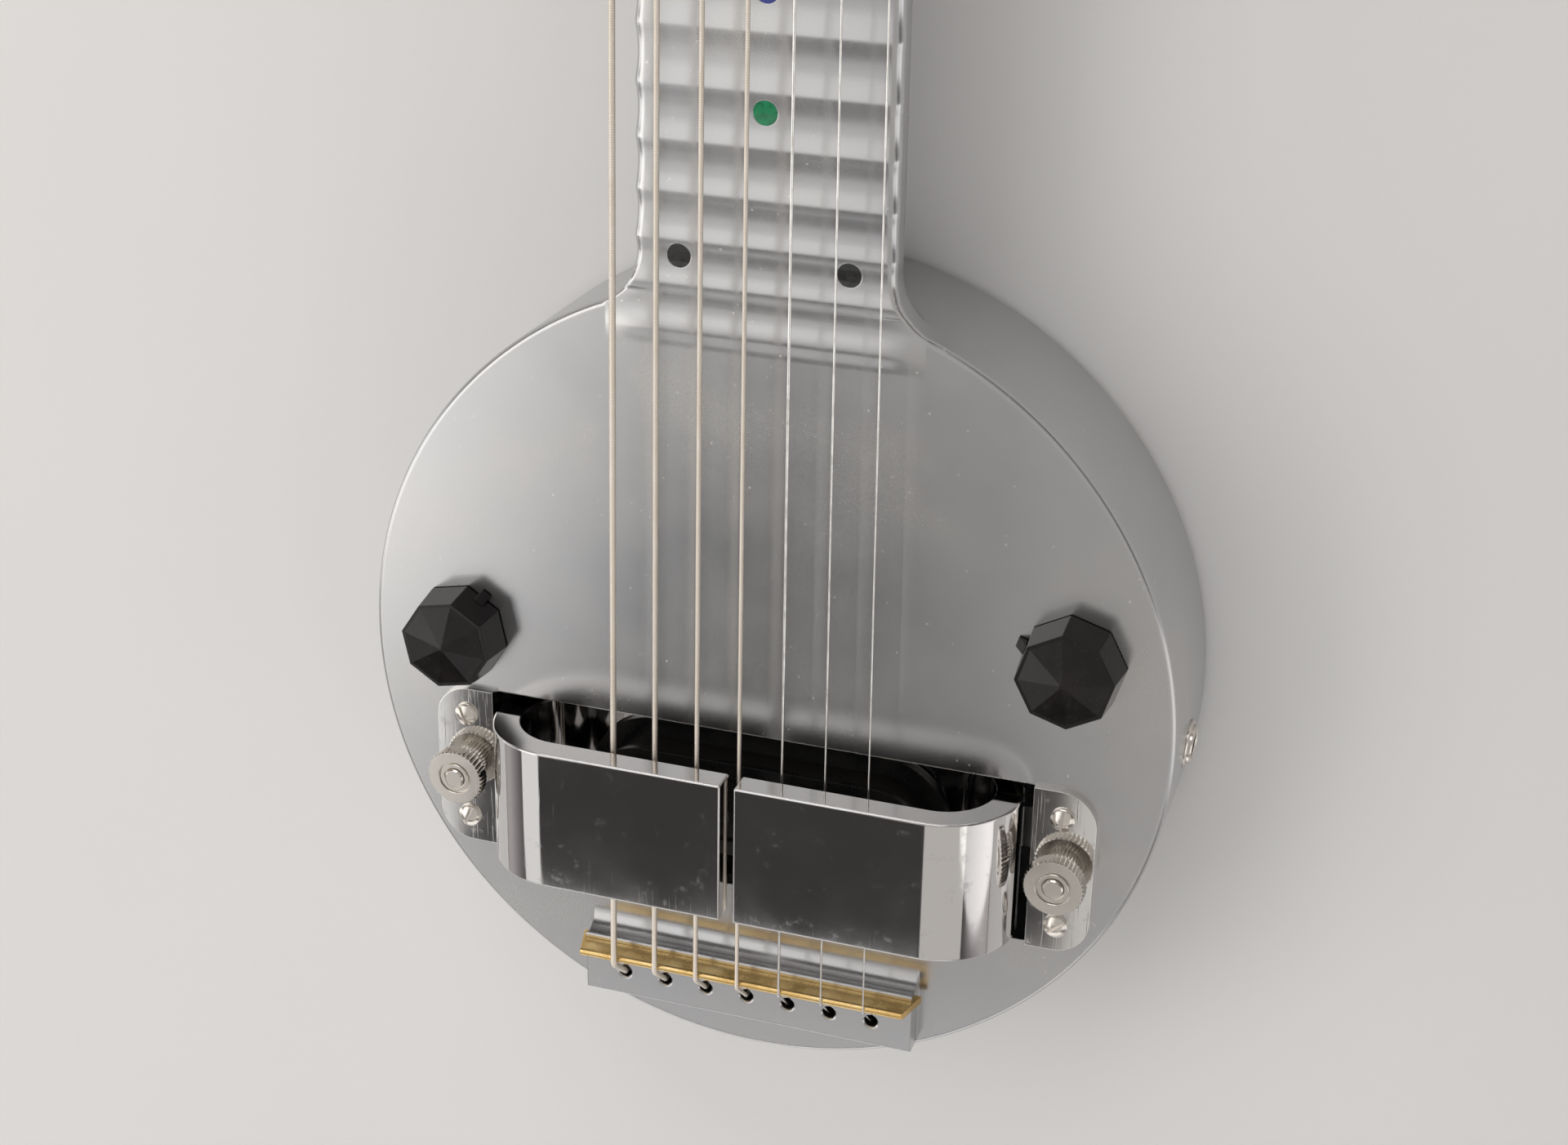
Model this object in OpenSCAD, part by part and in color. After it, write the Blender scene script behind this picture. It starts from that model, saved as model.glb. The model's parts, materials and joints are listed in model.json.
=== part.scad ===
// Seven-string electric lap steel guitar: a round hollow cast body with a long cast neck,
// raised cast frets, and a pickup whose two steel magnets reach over the strings.
// It lies on its back: +Z points out of the face, +Y towards the head and +X to the
// treble side. The origin is the middle of the body's back plane.

/* [Body] */
// Diameter of the body at its face
body_d = 183; // [181:0.5:185]
// Depth of the body from its back to its face
body_depth = 41; // [40.5:0.5:42]
// Thickness of the cast face
face_t = 4; // [3.5:0.5:4.5]
// Thickness of the cast side wall
wall_t = 8.5; // [8:0.25:9]
// Thickness of the round back cover
cover_t = 2.8; // [2.5:0.1:3]

/* [Neck and head] */
// Length of a string between the bridge blade and the nut blade
scale_length = 635; // [632:0.5:638]
// Width of the neck beside the body
neck_w = 55.6; // [55:0.2:56.4]
// Width of the neck at the nut
nut_w = 52; // [51.6:0.2:53]
// Height of a fret ridge above the hollows beside it
fret_h = 0.7; // [0.5:0.1:1]
// Width of the head at its widest point
head_w = 72; // [71:0.5:74]
// Length of the head behind the nut
head_l = 131; // [130:1:136]
// Thickness of the head
head_t = 13; // [12.5:0.5:14]

/* [Bridge and strings] */
// Distance from the middle of the body to the bridge blade
bridge_offset = 68.7; // [68.4:0.1:69]
// Height of the bridge blade's edge above the face
bridge_h = 11.2; // [10.8:0.1:11.4]
// Height of the nut blade's edge above the fingerboard
nut_h = 9.4; // [9:0.1:9.8]
// String spacing at the bridge blade
bridge_pitch = 9.85; // [9.7:0.05:9.9]
// String spacing at the nut blade
nut_pitch = 8.1; // [8:0.05:8.2]
// Width of the cast tail block
tail_w = 78; // [77:0.5:79]

/* [Pickup] */
// Length of the magnet loop, across the strings
loop_l = 121.2; // [120.6:0.2:121.6]
// Height of the magnet loop
loop_h = 35; // [34.6:0.2:35]
// Width of the magnets, along the strings
magnet_w = 33.4; // [33:0.2:34]
// Thickness of the magnet steel
magnet_t = 6.2; // [6:0.1:6.3]
// Gap between the tips of the two magnets
magnet_gap = 3; // [2.5:0.1:3.5]
// Height of the top of the loop above the face
loop_top = 19.6; // [19.6:0.1:20]
// Distance from the middle of the body to the middle of the pickup
pickup_offset = 30.6; // [30.4:0.1:30.8]

/* [Controls] */
// Width of a knob across its flats at the top
knob_w = 19.5; // [19:0.1:20]
// Height of a knob's sides
knob_h = 8.3; // [8:0.1:8.5]
// Diameter of a thumb nut's knurled disc
thumb_d = 13.4; // [12.8:0.1:13.6]

/* [Tuners] */
// Distance between neighbouring tuners
tuner_pitch = 25; // [24.5:0.5:25.5]
// Distance from the middle of the head to a post
post_x = 22; // [21.5:0.5:22.5]

/* [Hidden] */
$fn = 48;
eps = 0.01;
gap = 0.05;                                  // running clearance of a turning or sliding fit

body_r = body_d / 2;
back_r = body_r - 0.7;                       // the cast side wall has a little draft
cavity_r = body_r - wall_t;
cavity_end = -62;                            // the tail is solid beyond this line
cover_r = cavity_r + 3;
cover_end = cavity_end - 4;
cover_gap = 0.15;
face_z = body_depth;
inner_z = face_z - face_t;                   // underside of the face
rim_r = 1.2;
back_edge_r = 3;

bridge_y = -bridge_offset;
nut_y = bridge_y + scale_length;
blade_t = 1.6;
blade_slot = 2.6;                            // height of a blade's foot above the face
bridge_l = 81;
bridge_chamfer = 2.3;

fret_count = 25;
ridge_end = 5;                               // length of the slope from the last ridge to the face
hollow_steps = 8;
neck_start = 60;
flare_r = 13;
neck_axis_z = face_z + 2.2;                  // the rounded back is part of a long cone
neck_back_r1 = 29;
neck_back_r2 = 27;
heel_t = 24;

head_top = face_z - 8;
head_bottom = head_top - head_t;
head_end = nut_y + head_l;
head_corner = 9;
nut_pad_h = 4;

tail_end = -81.7;
tail_shelf = 5.1;
tail_crest = 5.6;
tail_cove = 5;
hole_y = -75.5;
string_hole_r = 1.5;
ball_pocket_r = 2.8;
ball_pocket_h = 4;
ball_r = 2.3;
ball_h = 3.1;

string_d = [1.4, 1.2, 1.05, 0.9, 0.6, 0.45, 0.4];
string_count = len(string_d);
middle_string = 4;
string_rest = 0.03;                          // air between a string and a blade, too thin to see

loop_r = loop_h / 2;
loop_z = face_z + loop_top - loop_r;
loop_inner_r = loop_r - magnet_t;
pickup_y = -pickup_offset;
leg_top = loop_z - loop_inner_r;             // upper side of the magnets' lower legs
slot_half_x = loop_l / 2 + 3.8;
slot_half_y = 19.4;
slot_corner = 3;
plate_t = 2;
plate_z = loop_z - loop_r - plate_t;
stud_x = 69.5;
stud_r = 2.25;
stud_end = 9;
ear_half = 5;
pole_r = 2.35;

bracket_t = 1.5;
bracket_in = loop_l / 2 + 2.1;
bracket_out = 76.6;
bracket_half = 19.5;
bracket_corner = 8;
bracket_screw_x = 69.3;
bracket_screw_dy = 13.1;
bracket_lip = 7;

knob_pos = [[-70.5, 2.7], [68.9, 18.1]];
knob_point = [57, 163];                      // bearing of each knob's pointer
knob_base_ratio = 1.085;
knob_lift = 0.4;
knob_crown = 1.9;
pot_r = 11;
pot_h = 9.5;
pot_bush_r = 4.6;
shaft_r = 3;

jack_angle = -3.9;
jack_z = body_depth / 2;
plug_r = 3.2;
jack_bush_r = 4.3;
jack_nut_r = 5.2;
jack_seat = body_r - 0.9;                    // flat seat for the jack's nut
jack_barrel_r = 6.5;
jack_barrel_l = 24;

plate_w = 22;
tuner_plate_t = 1.2;
tuner_top = head_bottom - tuner_plate_t;
gear_teeth = 14;
gear_r = 6.2;
gear_root_r = 4.9;
gear_z = tuner_top - 5.4;
gear_h = 4.2;
worm_r = 2.2;
worm_c = gear_r + worm_r + 0.4;              // distance from a post's axis to its worm's axis
worm_z = gear_z + gear_h / 2;
post_r = 3;
post_top = head_top + 14;
wrap_z = head_top + 7;                      // height of a post's uppermost turn of string
lug_t = 1.2;
lug_w = 7;
key_reach = 41;
button_l = 17;
button_w = 12;
button_t = 6.5;
bass_y0 = nut_y + 27.5;
treble_y0 = bass_y0 + tuner_pitch / 2;

cover_screw_at = [for (a = [50, 90, 130, 205, 335]) 80 * [cos(a), sin(a)], [0, cavity_end + 1.5]];

steel = "silver";
cast = "lightgray";
nickel = "gainsboro";
brass = "goldenrod";
plastic = "#1c1c1e";

strings = [for (i = [1:string_count]) str("string_", i)];
posts = [for (i = [1:string_count]) str("tuner_post_", i)];
keys = [for (i = [1:string_count]) str("tuner_key_", i)];

// ---- places ----

// Distance along Y of fret n
function fret_y(n) = bridge_y + scale_length * pow(2, -n / 12);
// Spacing of the strings at a place along Y
function pitch_at(y) = bridge_pitch + (nut_pitch - bridge_pitch) * (y - bridge_y) / scale_length;
function string_x(i, y) = (i - middle_string) * pitch_at(y);
function is_bass(i) = i <= middle_string;
function side(i) = is_bass(i) ? -1 : 1;
function post_y(i) = is_bass(i)
    ? bass_y0 + (i - 1) * tuner_pitch
    : treble_y0 + (string_count - i) * tuner_pitch;
function neck_half(y) = (neck_w + (nut_w - neck_w) * (y - body_r) / (nut_y - body_r)) / 2;
function arc(c, r, a0, a1, n = 8) = [for (k = [0:n])
    let (a = a0 + (a1 - a0) * k / n) c + r * [cos(a), sin(a)]];

// ---- shared shapes ----

// A round bar between two points
module bar(a, b, r) {
    d = b - a;
    translate(a)
        rotate([0, acos(d[2] / norm(d)), atan2(d[1], d[0])])
            cylinder(h = norm(d), r = r, $fn = 24);
}

function unit(v) = v / norm(v);
// Direction of a route at its point k
function heading(points, k) =
    unit(points[min(k + 1, len(points) - 1)] - points[max(k - 1, 0)]);

// A round cord along a route that nowhere runs along the side direction
module cord(points, r, sideways = [1, 0, 0], sides = 12) {
    rings = [for (k = [0:len(points) - 1])
        let (t = heading(points, k), u = unit(cross(t, sideways)), v = cross(t, u))
        each [for (q = [0:sides - 1])
            points[k] + r * (cos(360 * q / sides) * u + sin(360 * q / sides) * v)]];
    last = sides * (len(points) - 1);
    faces = concat(
        [[for (q = [0:sides - 1]) q], [for (q = [sides - 1:-1:0]) last + q]],
        [for (k = [0:len(points) - 2], q = [0:sides - 1])
            let (a = k * sides + q, b = k * sides + (q + 1) % sides)
            [a, a + sides, b + sides, b]]
    );
    polyhedron(rings, faces);
}

// A flat shape with round ends, along X
module stadium(l, w) {
    square([l - w, w], center = true);
    for (s = [-1, 1])
        translate([s * (l - w) / 2, 0])
            circle(d = w);
}

module rounded_rect(x, y, r) {
    square([x - 2 * r, y], center = true);
    square([x, y - 2 * r], center = true);
    for (sx = [-1, 1], sy = [-1, 1])
        translate([sx * (x / 2 - r), sy * (y / 2 - r)])
            circle(r = r);
}

module tube(h, r_out, r_in) {
    difference() {
        cylinder(h = h, r = r_out);
        translate([0, 0, -1])
            cylinder(h = h + 2, r = r_in);
    }
}

// A shape drawn as [y, z] points and drawn out along X, both ways from the middle
module across(points, half) {
    rotate([90, 0, 90])
        translate([0, 0, -half])
            linear_extrude(2 * half)
                polygon(points);
}

// A screw with a flat countersunk head at its origin, pointing along +Z
module flat_screw(head_r, shank_r, l) {
    cylinder(h = head_r - shank_r, r1 = head_r, r2 = shank_r);
    cylinder(h = l, r = shank_r);
}

// A screw with a low round slotted head above its origin and its shank along -Z
module round_screw(head_r, shank_r, l) {
    dome_r = 1.5 * head_r;
    head_h = 0.65 * head_r;
    difference() {
        intersection() {
            cylinder(h = head_h, r = head_r);
            translate([0, 0, head_h - dome_r])
                sphere(r = dome_r);
        }
        translate([-head_r, -0.35, head_h * 0.5])
            cube([2 * head_r, 0.7, head_h]);
    }
    translate([0, 0, -l])
        cylinder(h = l, r = shank_r);
}

// ---- the casting ----

module body_disc() {
    rotate_extrude($fn = 96)
        polygon(concat(
            [[0, 0]],
            arc([back_r - back_edge_r, back_edge_r], back_edge_r, 270, 360),
            arc([body_r - rim_r, face_z - rim_r], rim_r, 0, 90),
            [[0, face_z]]
        ));
}

// Right-hand outline points, with the same points mirrored to the left
function both_sides(points) = concat(points,
    [for (k = [len(points) - 1:-1:0]) [-points[k][0], points[k][1]]]);

// The concave fillet in plan between the body's edge and the neck's side, from the body up
function flare() =
    let (x = neck_w / 2 + flare_r, y = sqrt(pow(body_r + flare_r, 2) - x * x))
    arc([x, y], flare_r, 180 + atan2(y, x), 180);

module heel() {
    outline = concat([[flare()[0][0], neck_start]], flare());
    translate([0, 0, face_z - heel_t])
        linear_extrude(heel_t)
            polygon(both_sides(outline));
}

// The shallow hollow between fret n + 1 and fret n in side view, from its start up to its other end
function hollow(n) = [for (k = [0:hollow_steps - 1])
    let (u = k / hollow_steps)
    [fret_y(n + 1) + u * (fret_y(n) - fret_y(n + 1)), face_z + fret_h * pow(2 * u - 1, 2)]];

// The upper line of the neck in side view
function fingerboard() = concat(
    [[neck_start, face_z], [fret_y(fret_count) - ridge_end, face_z]],
    [for (n = [fret_count - 1:-1:1]) each hollow(n)],
    [[fret_y(1), face_z + fret_h], [fret_y(1) + 2 * ridge_end, face_z], [nut_y - 11, face_z]]
);

// The cast pad that carries the nut blade
function nut_pad() = concat(
    arc([nut_y - 8, face_z + nut_pad_h], nut_pad_h, 270, 345),
    [[nut_y - 3, face_z + nut_pad_h], [nut_y + 3.5, face_z + nut_pad_h]]
);

module neck_side() {
    across(concat(
        fingerboard(),
        nut_pad(),
        [[nut_y + 12, head_top + 2], [nut_y + 26, head_top - 1], [nut_y + 26, head_bottom],
         [nut_y + 16, head_bottom], [nut_y - 24, head_bottom - 5], [nut_y - 24, 5],
         [neck_start, 5]]
    ), head_w);
}

module neck_plan() {
    translate([0, 0, 5])
        linear_extrude(face_z + 5)
            polygon(both_sides([
                [neck_half(neck_start), neck_start],
                [neck_half(nut_y), nut_y],
                [neck_half(nut_y), nut_y + 26]
            ]));
}

module neck() {
    intersection() {
        neck_side();
        neck_plan();
        translate([0, neck_start, neck_axis_z])
            rotate([-90, 0, 0])
                cylinder(h = nut_y + 26 - neck_start, r1 = neck_back_r1, r2 = neck_back_r2);
    }
}

module head() {
    r = head_corner;
    outline = concat(
        [[nut_w / 2, nut_y - 2], [nut_w / 2, nut_y + 4], [nut_w / 2 + 3, nut_y + 11],
         [head_w / 2, nut_y + 24]],
        arc([head_w / 2 - 2 - r, head_end - r], r, 0, 90)
    );
    intersection() {
        translate([0, 0, head_bottom - 5])
            linear_extrude(40)
                polygon(both_sides(outline));
        across([
            [nut_y - 2, head_bottom + 10], [nut_y - 2, face_z + nut_pad_h],
            [nut_y + 3.5, face_z + nut_pad_h], [nut_y + 6, face_z + 2.5],
            [nut_y + 15, head_top], [head_end + 1, head_top],
            [head_end + 1, head_bottom], [nut_y + 16, head_bottom]
        ], head_w);
    }
}

module tail_block() {
    front = bridge_y + blade_t / 2;
    across(concat(
        [[cavity_end - 0.4, face_z - 1]],
        arc([cavity_end - 0.4, face_z + tail_cove], tail_cove, 270, 187),
        [[front + 0.45, face_z + tail_crest - 0.5], [front, face_z + tail_crest],
         [bridge_y - blade_t, face_z + tail_crest],
         [bridge_y - blade_t - 0.4, face_z + tail_shelf],
         [tail_end, face_z + tail_shelf], [tail_end, face_z - 1]]
    ), tail_w / 2);
}

// What lies on the head's side of a line across the body
module beyond(y, h) {
    translate([-body_r, y, 0])
        cube([2 * body_r, 2 * body_r, h]);
}

module cavity() {
    translate([0, 0, cover_t])
        intersection() {
            cylinder(h = inner_z - cover_t, r = cavity_r);
            beyond(cavity_end, inner_z);
        }
}

module cover_disc(grow, h) {
    intersection() {
        cylinder(h = h, r = cover_r + grow);
        beyond(cover_end - grow, h);
    }
}

module at_cover_screws(z) {
    for (at = cover_screw_at)
        translate([at[0], at[1], z])
            children();
}

module bosses() {
    at_cover_screws(cover_t)
        cylinder(h = 12, r = 5);
}

module at_bracket_screws(s, z) {
    for (t = [-1, 1])
        translate([s * bracket_screw_x, pickup_y + t * bracket_screw_dy, z])
            children();
}

module face_holes() {
    translate([0, pickup_y, inner_z - 1])
        linear_extrude(face_t + 2)
            rounded_rect(2 * slot_half_x, 2 * slot_half_y, slot_corner);
    for (s = [-1, 1]) {
        translate([s * stud_x, pickup_y, inner_z - 1])
            cylinder(h = face_t + 2, r = 3.5);
        at_bracket_screws(s, inner_z - 1)
            cylinder(h = face_t + 2, r = 1.45);
    }
    for (p = knob_pos)
        translate([p[0], p[1], inner_z - 1])
            cylinder(h = face_t + 2, r = pot_bush_r + gap);
}

// Places a shape's +Z axis along the jack's axis, at a distance r from the body's middle
module on_jack_axis(r) {
    rotate([0, 0, jack_angle])
        translate([r, 0, jack_z])
            rotate([0, 90, 0])
                children();
}

module jack_holes() {
    on_jack_axis(cavity_r - 3)
        cylinder(h = 20, r = jack_bush_r + gap);
    on_jack_axis(jack_seat)
        cylinder(h = 10, r = jack_nut_r + 0.4);
}

module string_holes() {
    for (i = [1:string_count])
        translate([string_x(i, hole_y), hole_y, -1]) {
            cylinder(h = face_z + 10, r = string_hole_r);
            cylinder(h = ball_pocket_h + 1, r = ball_pocket_r);
        }
}

module blade_slots() {
    translate([-body_r / 2, bridge_y - blade_t / 2, face_z + blade_slot])
        cube([body_r, blade_t, 20]);
    translate([-head_w / 2, nut_y - blade_t / 2, face_z + 1])
        cube([head_w, blade_t, 20]);
}

module at_posts(z) {
    for (i = [1:string_count])
        translate([side(i) * post_x, post_y(i), z])
            children();
}

module post_holes() {
    at_posts(head_bottom - 1)
        cylinder(h = head_t + 2, r = post_r + 0.6);
    at_tuner_screws()
        translate([0, 0, -1])
            cylinder(h = 9, r = 1.05);
}

module body_casting() {
    color(cast)
        difference() {
            union() {
                difference() {
                    union() {
                        body_disc();
                        heel();
                        neck();
                    }
                    cavity();
                }
                bosses();
                tail_block();
                head();
            }
            translate([0, 0, -1])
                cover_disc(cover_gap, cover_t + 1);
            at_cover_screws(0)
                cylinder(h = 12, r = 1.3);
            face_holes();
            jack_holes();
            string_holes();
            blade_slots();
            post_holes();
            dot_shapes(black_frets);
            dot_shapes(green_frets);
            dot_shapes(blue_frets);
            dot_shapes(red_frets);
        }
}

// ---- fret markers ----

dot_r = 2.55;
dot_depth = 0.8;
dot_along = 0.36;                            // place between two ridges, from the head's side
dot_pair_x = 18.2;
black_frets = [12, 24];
green_frets = [9, 21];
blue_frets = [7, 19];
red_frets = [5, 17];

function dot_y(n) = fret_y(n - 1) + dot_along * (fret_y(n) - fret_y(n - 1));

// The inlays of some frets, filling their pockets up to the surface of the fingerboard
module dot_shapes(frets) {
    intersection() {
        union()
            for (n = frets, x = n % 12 == 0 ? [-dot_pair_x, dot_pair_x] : [0])
                translate([x, dot_y(n), face_z - dot_depth])
                    cylinder(h = 4, r = dot_r);
        neck_side();
    }
}

module dots_black() {
    color("black")
        dot_shapes(black_frets);
}

module dots_green() {
    color("seagreen")
        dot_shapes(green_frets);
}

module dots_blue() {
    color("royalblue")
        dot_shapes(blue_frets);
}

module dots_red() {
    color("firebrick")
        dot_shapes(red_frets);
}

// ---- the back ----

cover_screw_r = 3.2;
cover_shank_r = 1.25;

module back_cover() {
    color(cast)
        difference() {
            cover_disc(0, cover_t);
            at_cover_screws(0) {
                translate([0, 0, -1])
                    cylinder(h = cover_t + 2, r = cover_shank_r + 0.3);
                cylinder(h = cover_screw_r + gap - cover_shank_r, r1 = cover_screw_r + gap,
                    r2 = cover_shank_r);
            }
        }
}

module back_cover_screws() {
    color(nickel)
        at_cover_screws(0)
            difference() {
                flat_screw(cover_screw_r, cover_shank_r, 10);
                translate([-cover_screw_r, -0.4, -0.2])
                    cube([2 * cover_screw_r, 0.8, 1]);
            }
}

module string_balls() {
    color(brass)
        for (i = [1:string_count])
            translate([string_x(i, hole_y), hole_y, ball_pocket_h - ball_h - gap])
                tube(ball_h, ball_r, 0.8);
}

// ---- blades and strings ----

// A blade that stands across the strings, with a round upper edge and sloping ends
module blade(foot, top, l, chamfer) {
    r = blade_t / 2;
    intersection() {
        across(concat(
            [[-r, foot]],
            arc([0, top - r], r, 180, 0),
            [[r, foot]]
        ), l / 2);
        translate([0, 5, 0])
            rotate([90, 0, 0])
                linear_extrude(10)
                    polygon([[-l / 2, foot], [l / 2, foot], [l / 2 - chamfer, top],
                        [chamfer - l / 2, top]]);
    }
}

module bridge_blade() {
    color(brass)
        translate([0, bridge_y, 0])
            blade(face_z + blade_slot, face_z + bridge_h, bridge_l, bridge_chamfer);
}

module nut_blade() {
    color(brass)
        translate([0, nut_y, 0])
            blade(face_z + 1, face_z + nut_h, nut_w - 0.4, 1);
}

// Angle at which a line from the top of a blade's round edge falls to a point
function fall(dy, dz, r) = atan2(dz, dy) + asin(r / norm([dy, dz]));

// A string's middle on a blade's round edge, a degrees past its top towards +Y
function on_blade(x, y, top, d, a) =
    let (r = (blade_t + d) / 2 + string_rest)
    [x, y + r * sin(a), top - blade_t / 2 + r * cos(a)];

function wrap_r(i) = string_d[i - 1] / 2;
// How far short of the post's axis a string ends, where it meets its turns on the post
function wrap_reach(i) = sqrt(pow(post_r + 2 * wrap_r(i), 2) - pow(post_r, 2)) + 0.25;

function string_route(i) =
    let (
        d = string_d[i - 1],
        r = (blade_t + d) / 2,
        saddle = face_z + bridge_h,
        nut = face_z + nut_h,
        mouth = face_z + tail_shelf - 0.3,
        xh = string_x(i, hole_y),
        xb = string_x(i, bridge_y),
        xn = string_x(i, nut_y),
        end = [side(i) * (post_x - post_r - d / 2), post_y(i) - wrap_reach(i), wrap_z],
        a = fall(bridge_y - hole_y, saddle - blade_t / 2 - mouth, r),
        b = fall(end[1] - nut_y, nut - blade_t / 2 - wrap_z, r)
    )
    concat(
        [[xh, hole_y, ball_pocket_h], [xh, hole_y, mouth]],
        [for (t = [1, 0.5, 0]) on_blade(xb, bridge_y, saddle, d, -a * t)],
        [for (t = [0, 0.5, 1]) on_blade(xn, nut_y, nut, d, b * t)],
        [end]
    );

module string(i) {
    color(is_bass(i) ? "wheat" : steel)
        cord(string_route(i), string_d[i - 1] / 2);
}

// ---- pickup ----

module loop_outline() {
    difference() {
        stadium(loop_l, 2 * loop_r);
        stadium(loop_l - 2 * magnet_t, 2 * loop_inner_r);
    }
}

module magnet(s) {
    color(steel)
        difference() {
            intersection() {
                translate([0, pickup_y + magnet_w / 2, loop_z])
                    rotate([90, 0, 0])
                        linear_extrude(magnet_w)
                            loop_outline();
                translate([s > 0 ? magnet_gap / 2 : -body_r, -body_r, 0])
                    cube([body_r - magnet_gap / 2, body_r, 2 * face_z]);
            }
            at_magnet_screws(plate_z)
                cylinder(h = plate_t + 4.5, r = 1.55);
        }
}

module magnet_left() {
    magnet(-1);
}

module magnet_right() {
    magnet(1);
}

module at_magnet_screws(z) {
    for (s = [-1, 1], t = [-1, 1])
        translate([s * 36, pickup_y + t * 8, z])
            children();
}

module magnet_screws() {
    color(nickel)
        at_magnet_screws(plate_z)
            mirror([0, 0, 1])
                round_screw(2.6, 1.5, plate_t + 4);
}

module pickup_plate() {
    color(cast)
        difference() {
            translate([0, pickup_y, plate_z])
                linear_extrude(plate_t)
                    union() {
                        square([100, 26], center = true);
                        square([2 * (stud_x + 4), 2 * ear_half], center = true);
                    }
            at_magnet_screws(plate_z - 1)
                cylinder(h = plate_t + 2, r = 1.6);
            for (s = [-1, 1])
                translate([s * stud_x, pickup_y, plate_z - 1])
                    cylinder(h = plate_t + 2, r = stud_r);
        }
}

module height_studs() {
    color(nickel)
        for (s = [-1, 1])
            translate([s * stud_x, pickup_y, plate_z])
                cylinder(h = face_z + stud_end - plate_z, r = stud_r);
}

// Two coil springs that press the pickup away from the face
module height_springs() {
    turns = 5;
    wire_r = 0.55;
    low = plate_z + plate_t + gap;
    step = (inner_z - gap - low - 2 * wire_r) / (turns - 1);
    color(steel)
        for (s = [-1, 1])
            translate([s * stud_x, pickup_y, low + wire_r])
                rotate_extrude() {
                    for (k = [0:turns - 1])
                        translate([4.1, k * step])
                            circle(r = wire_r, $fn = 24);
                    translate([3.95, 0])
                        square([0.3, (turns - 1) * step]);
                }
}

bobbin_flange_t = 1.4;
bobbin_top = 0.6;                            // height of the bobbin's cap above the face

module at_poles(z) {
    for (i = [1:string_count])
        translate([string_x(i, pickup_y), pickup_y, z])
            children();
}

module pole_pieces() {
    color(steel)
        at_poles(leg_top)
            cylinder(h = face_z + 3.5 - leg_top, r = pole_r);
}

module coil_bobbin() {
    cap_z = face_z + bobbin_top - 1.6;
    color(plastic)
        difference() {
            translate([0, pickup_y, leg_top]) {
                linear_extrude(bobbin_flange_t)
                    stadium(84, 30);
                linear_extrude(cap_z - leg_top + 1)
                    stadium(66, 9);
                translate([0, 0, cap_z - leg_top])
                    linear_extrude(1.6)
                        stadium(77, 23);
            }
            translate([0, pickup_y, face_z + bobbin_top - 0.8])
                linear_extrude(2)
                    stadium(70, 16);
            at_poles(leg_top - 1)
                cylinder(h = face_z, r = pole_r + gap / 2);
        }
}

module coil_winding() {
    low = leg_top + bobbin_flange_t + gap;
    high = face_z + bobbin_top - 1.6 - gap;
    color("#6b3d1e")
        translate([0, pickup_y, low])
            linear_extrude(high - low)
                difference() {
                    stadium(75, 21.4);
                    stadium(66 + 2 * gap, 9 + 2 * gap);
                }
}

// A plate on the face that guides one end of the pickup, its inner edge bent down
module bracket(s) {
    w = bracket_out - bracket_in;
    color(nickel)
        difference() {
            union() {
                translate([s * (bracket_in + w / 2), pickup_y, face_z])
                    linear_extrude(bracket_t)
                        bracket_outline(s, w);
                translate([s * (bracket_in + bracket_t / 2), pickup_y,
                        face_z + (bracket_t - bracket_lip) / 2])
                    cube([bracket_t, 2 * (slot_half_y - slot_corner), bracket_t + bracket_lip], center = true);
            }
            at_bracket_screws(s, face_z - 1)
                cylinder(h = bracket_t + 2, r = 1.6);
            translate([s * stud_x, pickup_y, face_z - 1])
                cylinder(h = bracket_t + 2, r = 3);
        }
}

// The bracket in plan: square inner corners and round outer ones
module bracket_outline(s, w) {
    r = bracket_corner;
    translate([-s * r / 2, 0])
        square([w - r, 2 * bracket_half], center = true);
    square([w, 2 * (bracket_half - r)], center = true);
    for (t = [-1, 1])
        translate([s * (w / 2 - r), t * (bracket_half - r)])
            circle(r = r);
}

module bracket_left() {
    bracket(-1);
}

module bracket_right() {
    bracket(1);
}

module bracket_screws() {
    color(nickel)
        for (s = [-1, 1])
            at_bracket_screws(s, face_z + bracket_t)
                rotate([0, 0, 65 * s])
                    round_screw(2.65, 1.4, bracket_t + face_t);
}

// A knurled nut on one of the pickup's studs: a grooved disc on a narrower neck
module thumb_nut(s) {
    disc_h = 3.6;
    neck_h = 3.4;
    grooves = 40;
    color(nickel)
        translate([s * stud_x, pickup_y, face_z + bracket_t])
            difference() {
                union() {
                    cylinder(h = neck_h, r = 4.2);
                    translate([0, 0, neck_h])
                        cylinder(h = disc_h, r = thumb_d / 2);
                }
                translate([0, 0, neck_h + disc_h - 0.6])
                    tube(1, 3.9, 3.45);
                translate([0, 0, -1])
                    cylinder(h = 20, r = stud_r + gap);
                for (k = [0:grooves - 1])
                    rotate([0, 0, k * 360 / grooves])
                        translate([thumb_d / 2, 0, neck_h - 1])
                            rotate([0, 0, 45])
                                cube([0.5, 0.5, 2 * disc_h + 3], center = true);
            }
}

module thumb_nut_left() {
    thumb_nut(-1);
}

module thumb_nut_right() {
    thumb_nut(1);
}

// ---- controls ----

module pot(p) {
    color(nickel)
        translate([p[0], p[1], 0])
            difference() {
                union() {
                    translate([0, 0, inner_z - pot_h])
                        cylinder(h = pot_h, r = pot_r);
                    translate([0, 0, inner_z - eps])
                        cylinder(h = face_t + 2.6, r = pot_bush_r);
                }
                translate([0, 0, inner_z - pot_h + 2])
                    cylinder(h = 40, r = shaft_r + gap);
            }
}

module volume_pot() {
    pot(knob_pos[0]);
}

module tone_pot() {
    pot(knob_pos[1]);
}

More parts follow.
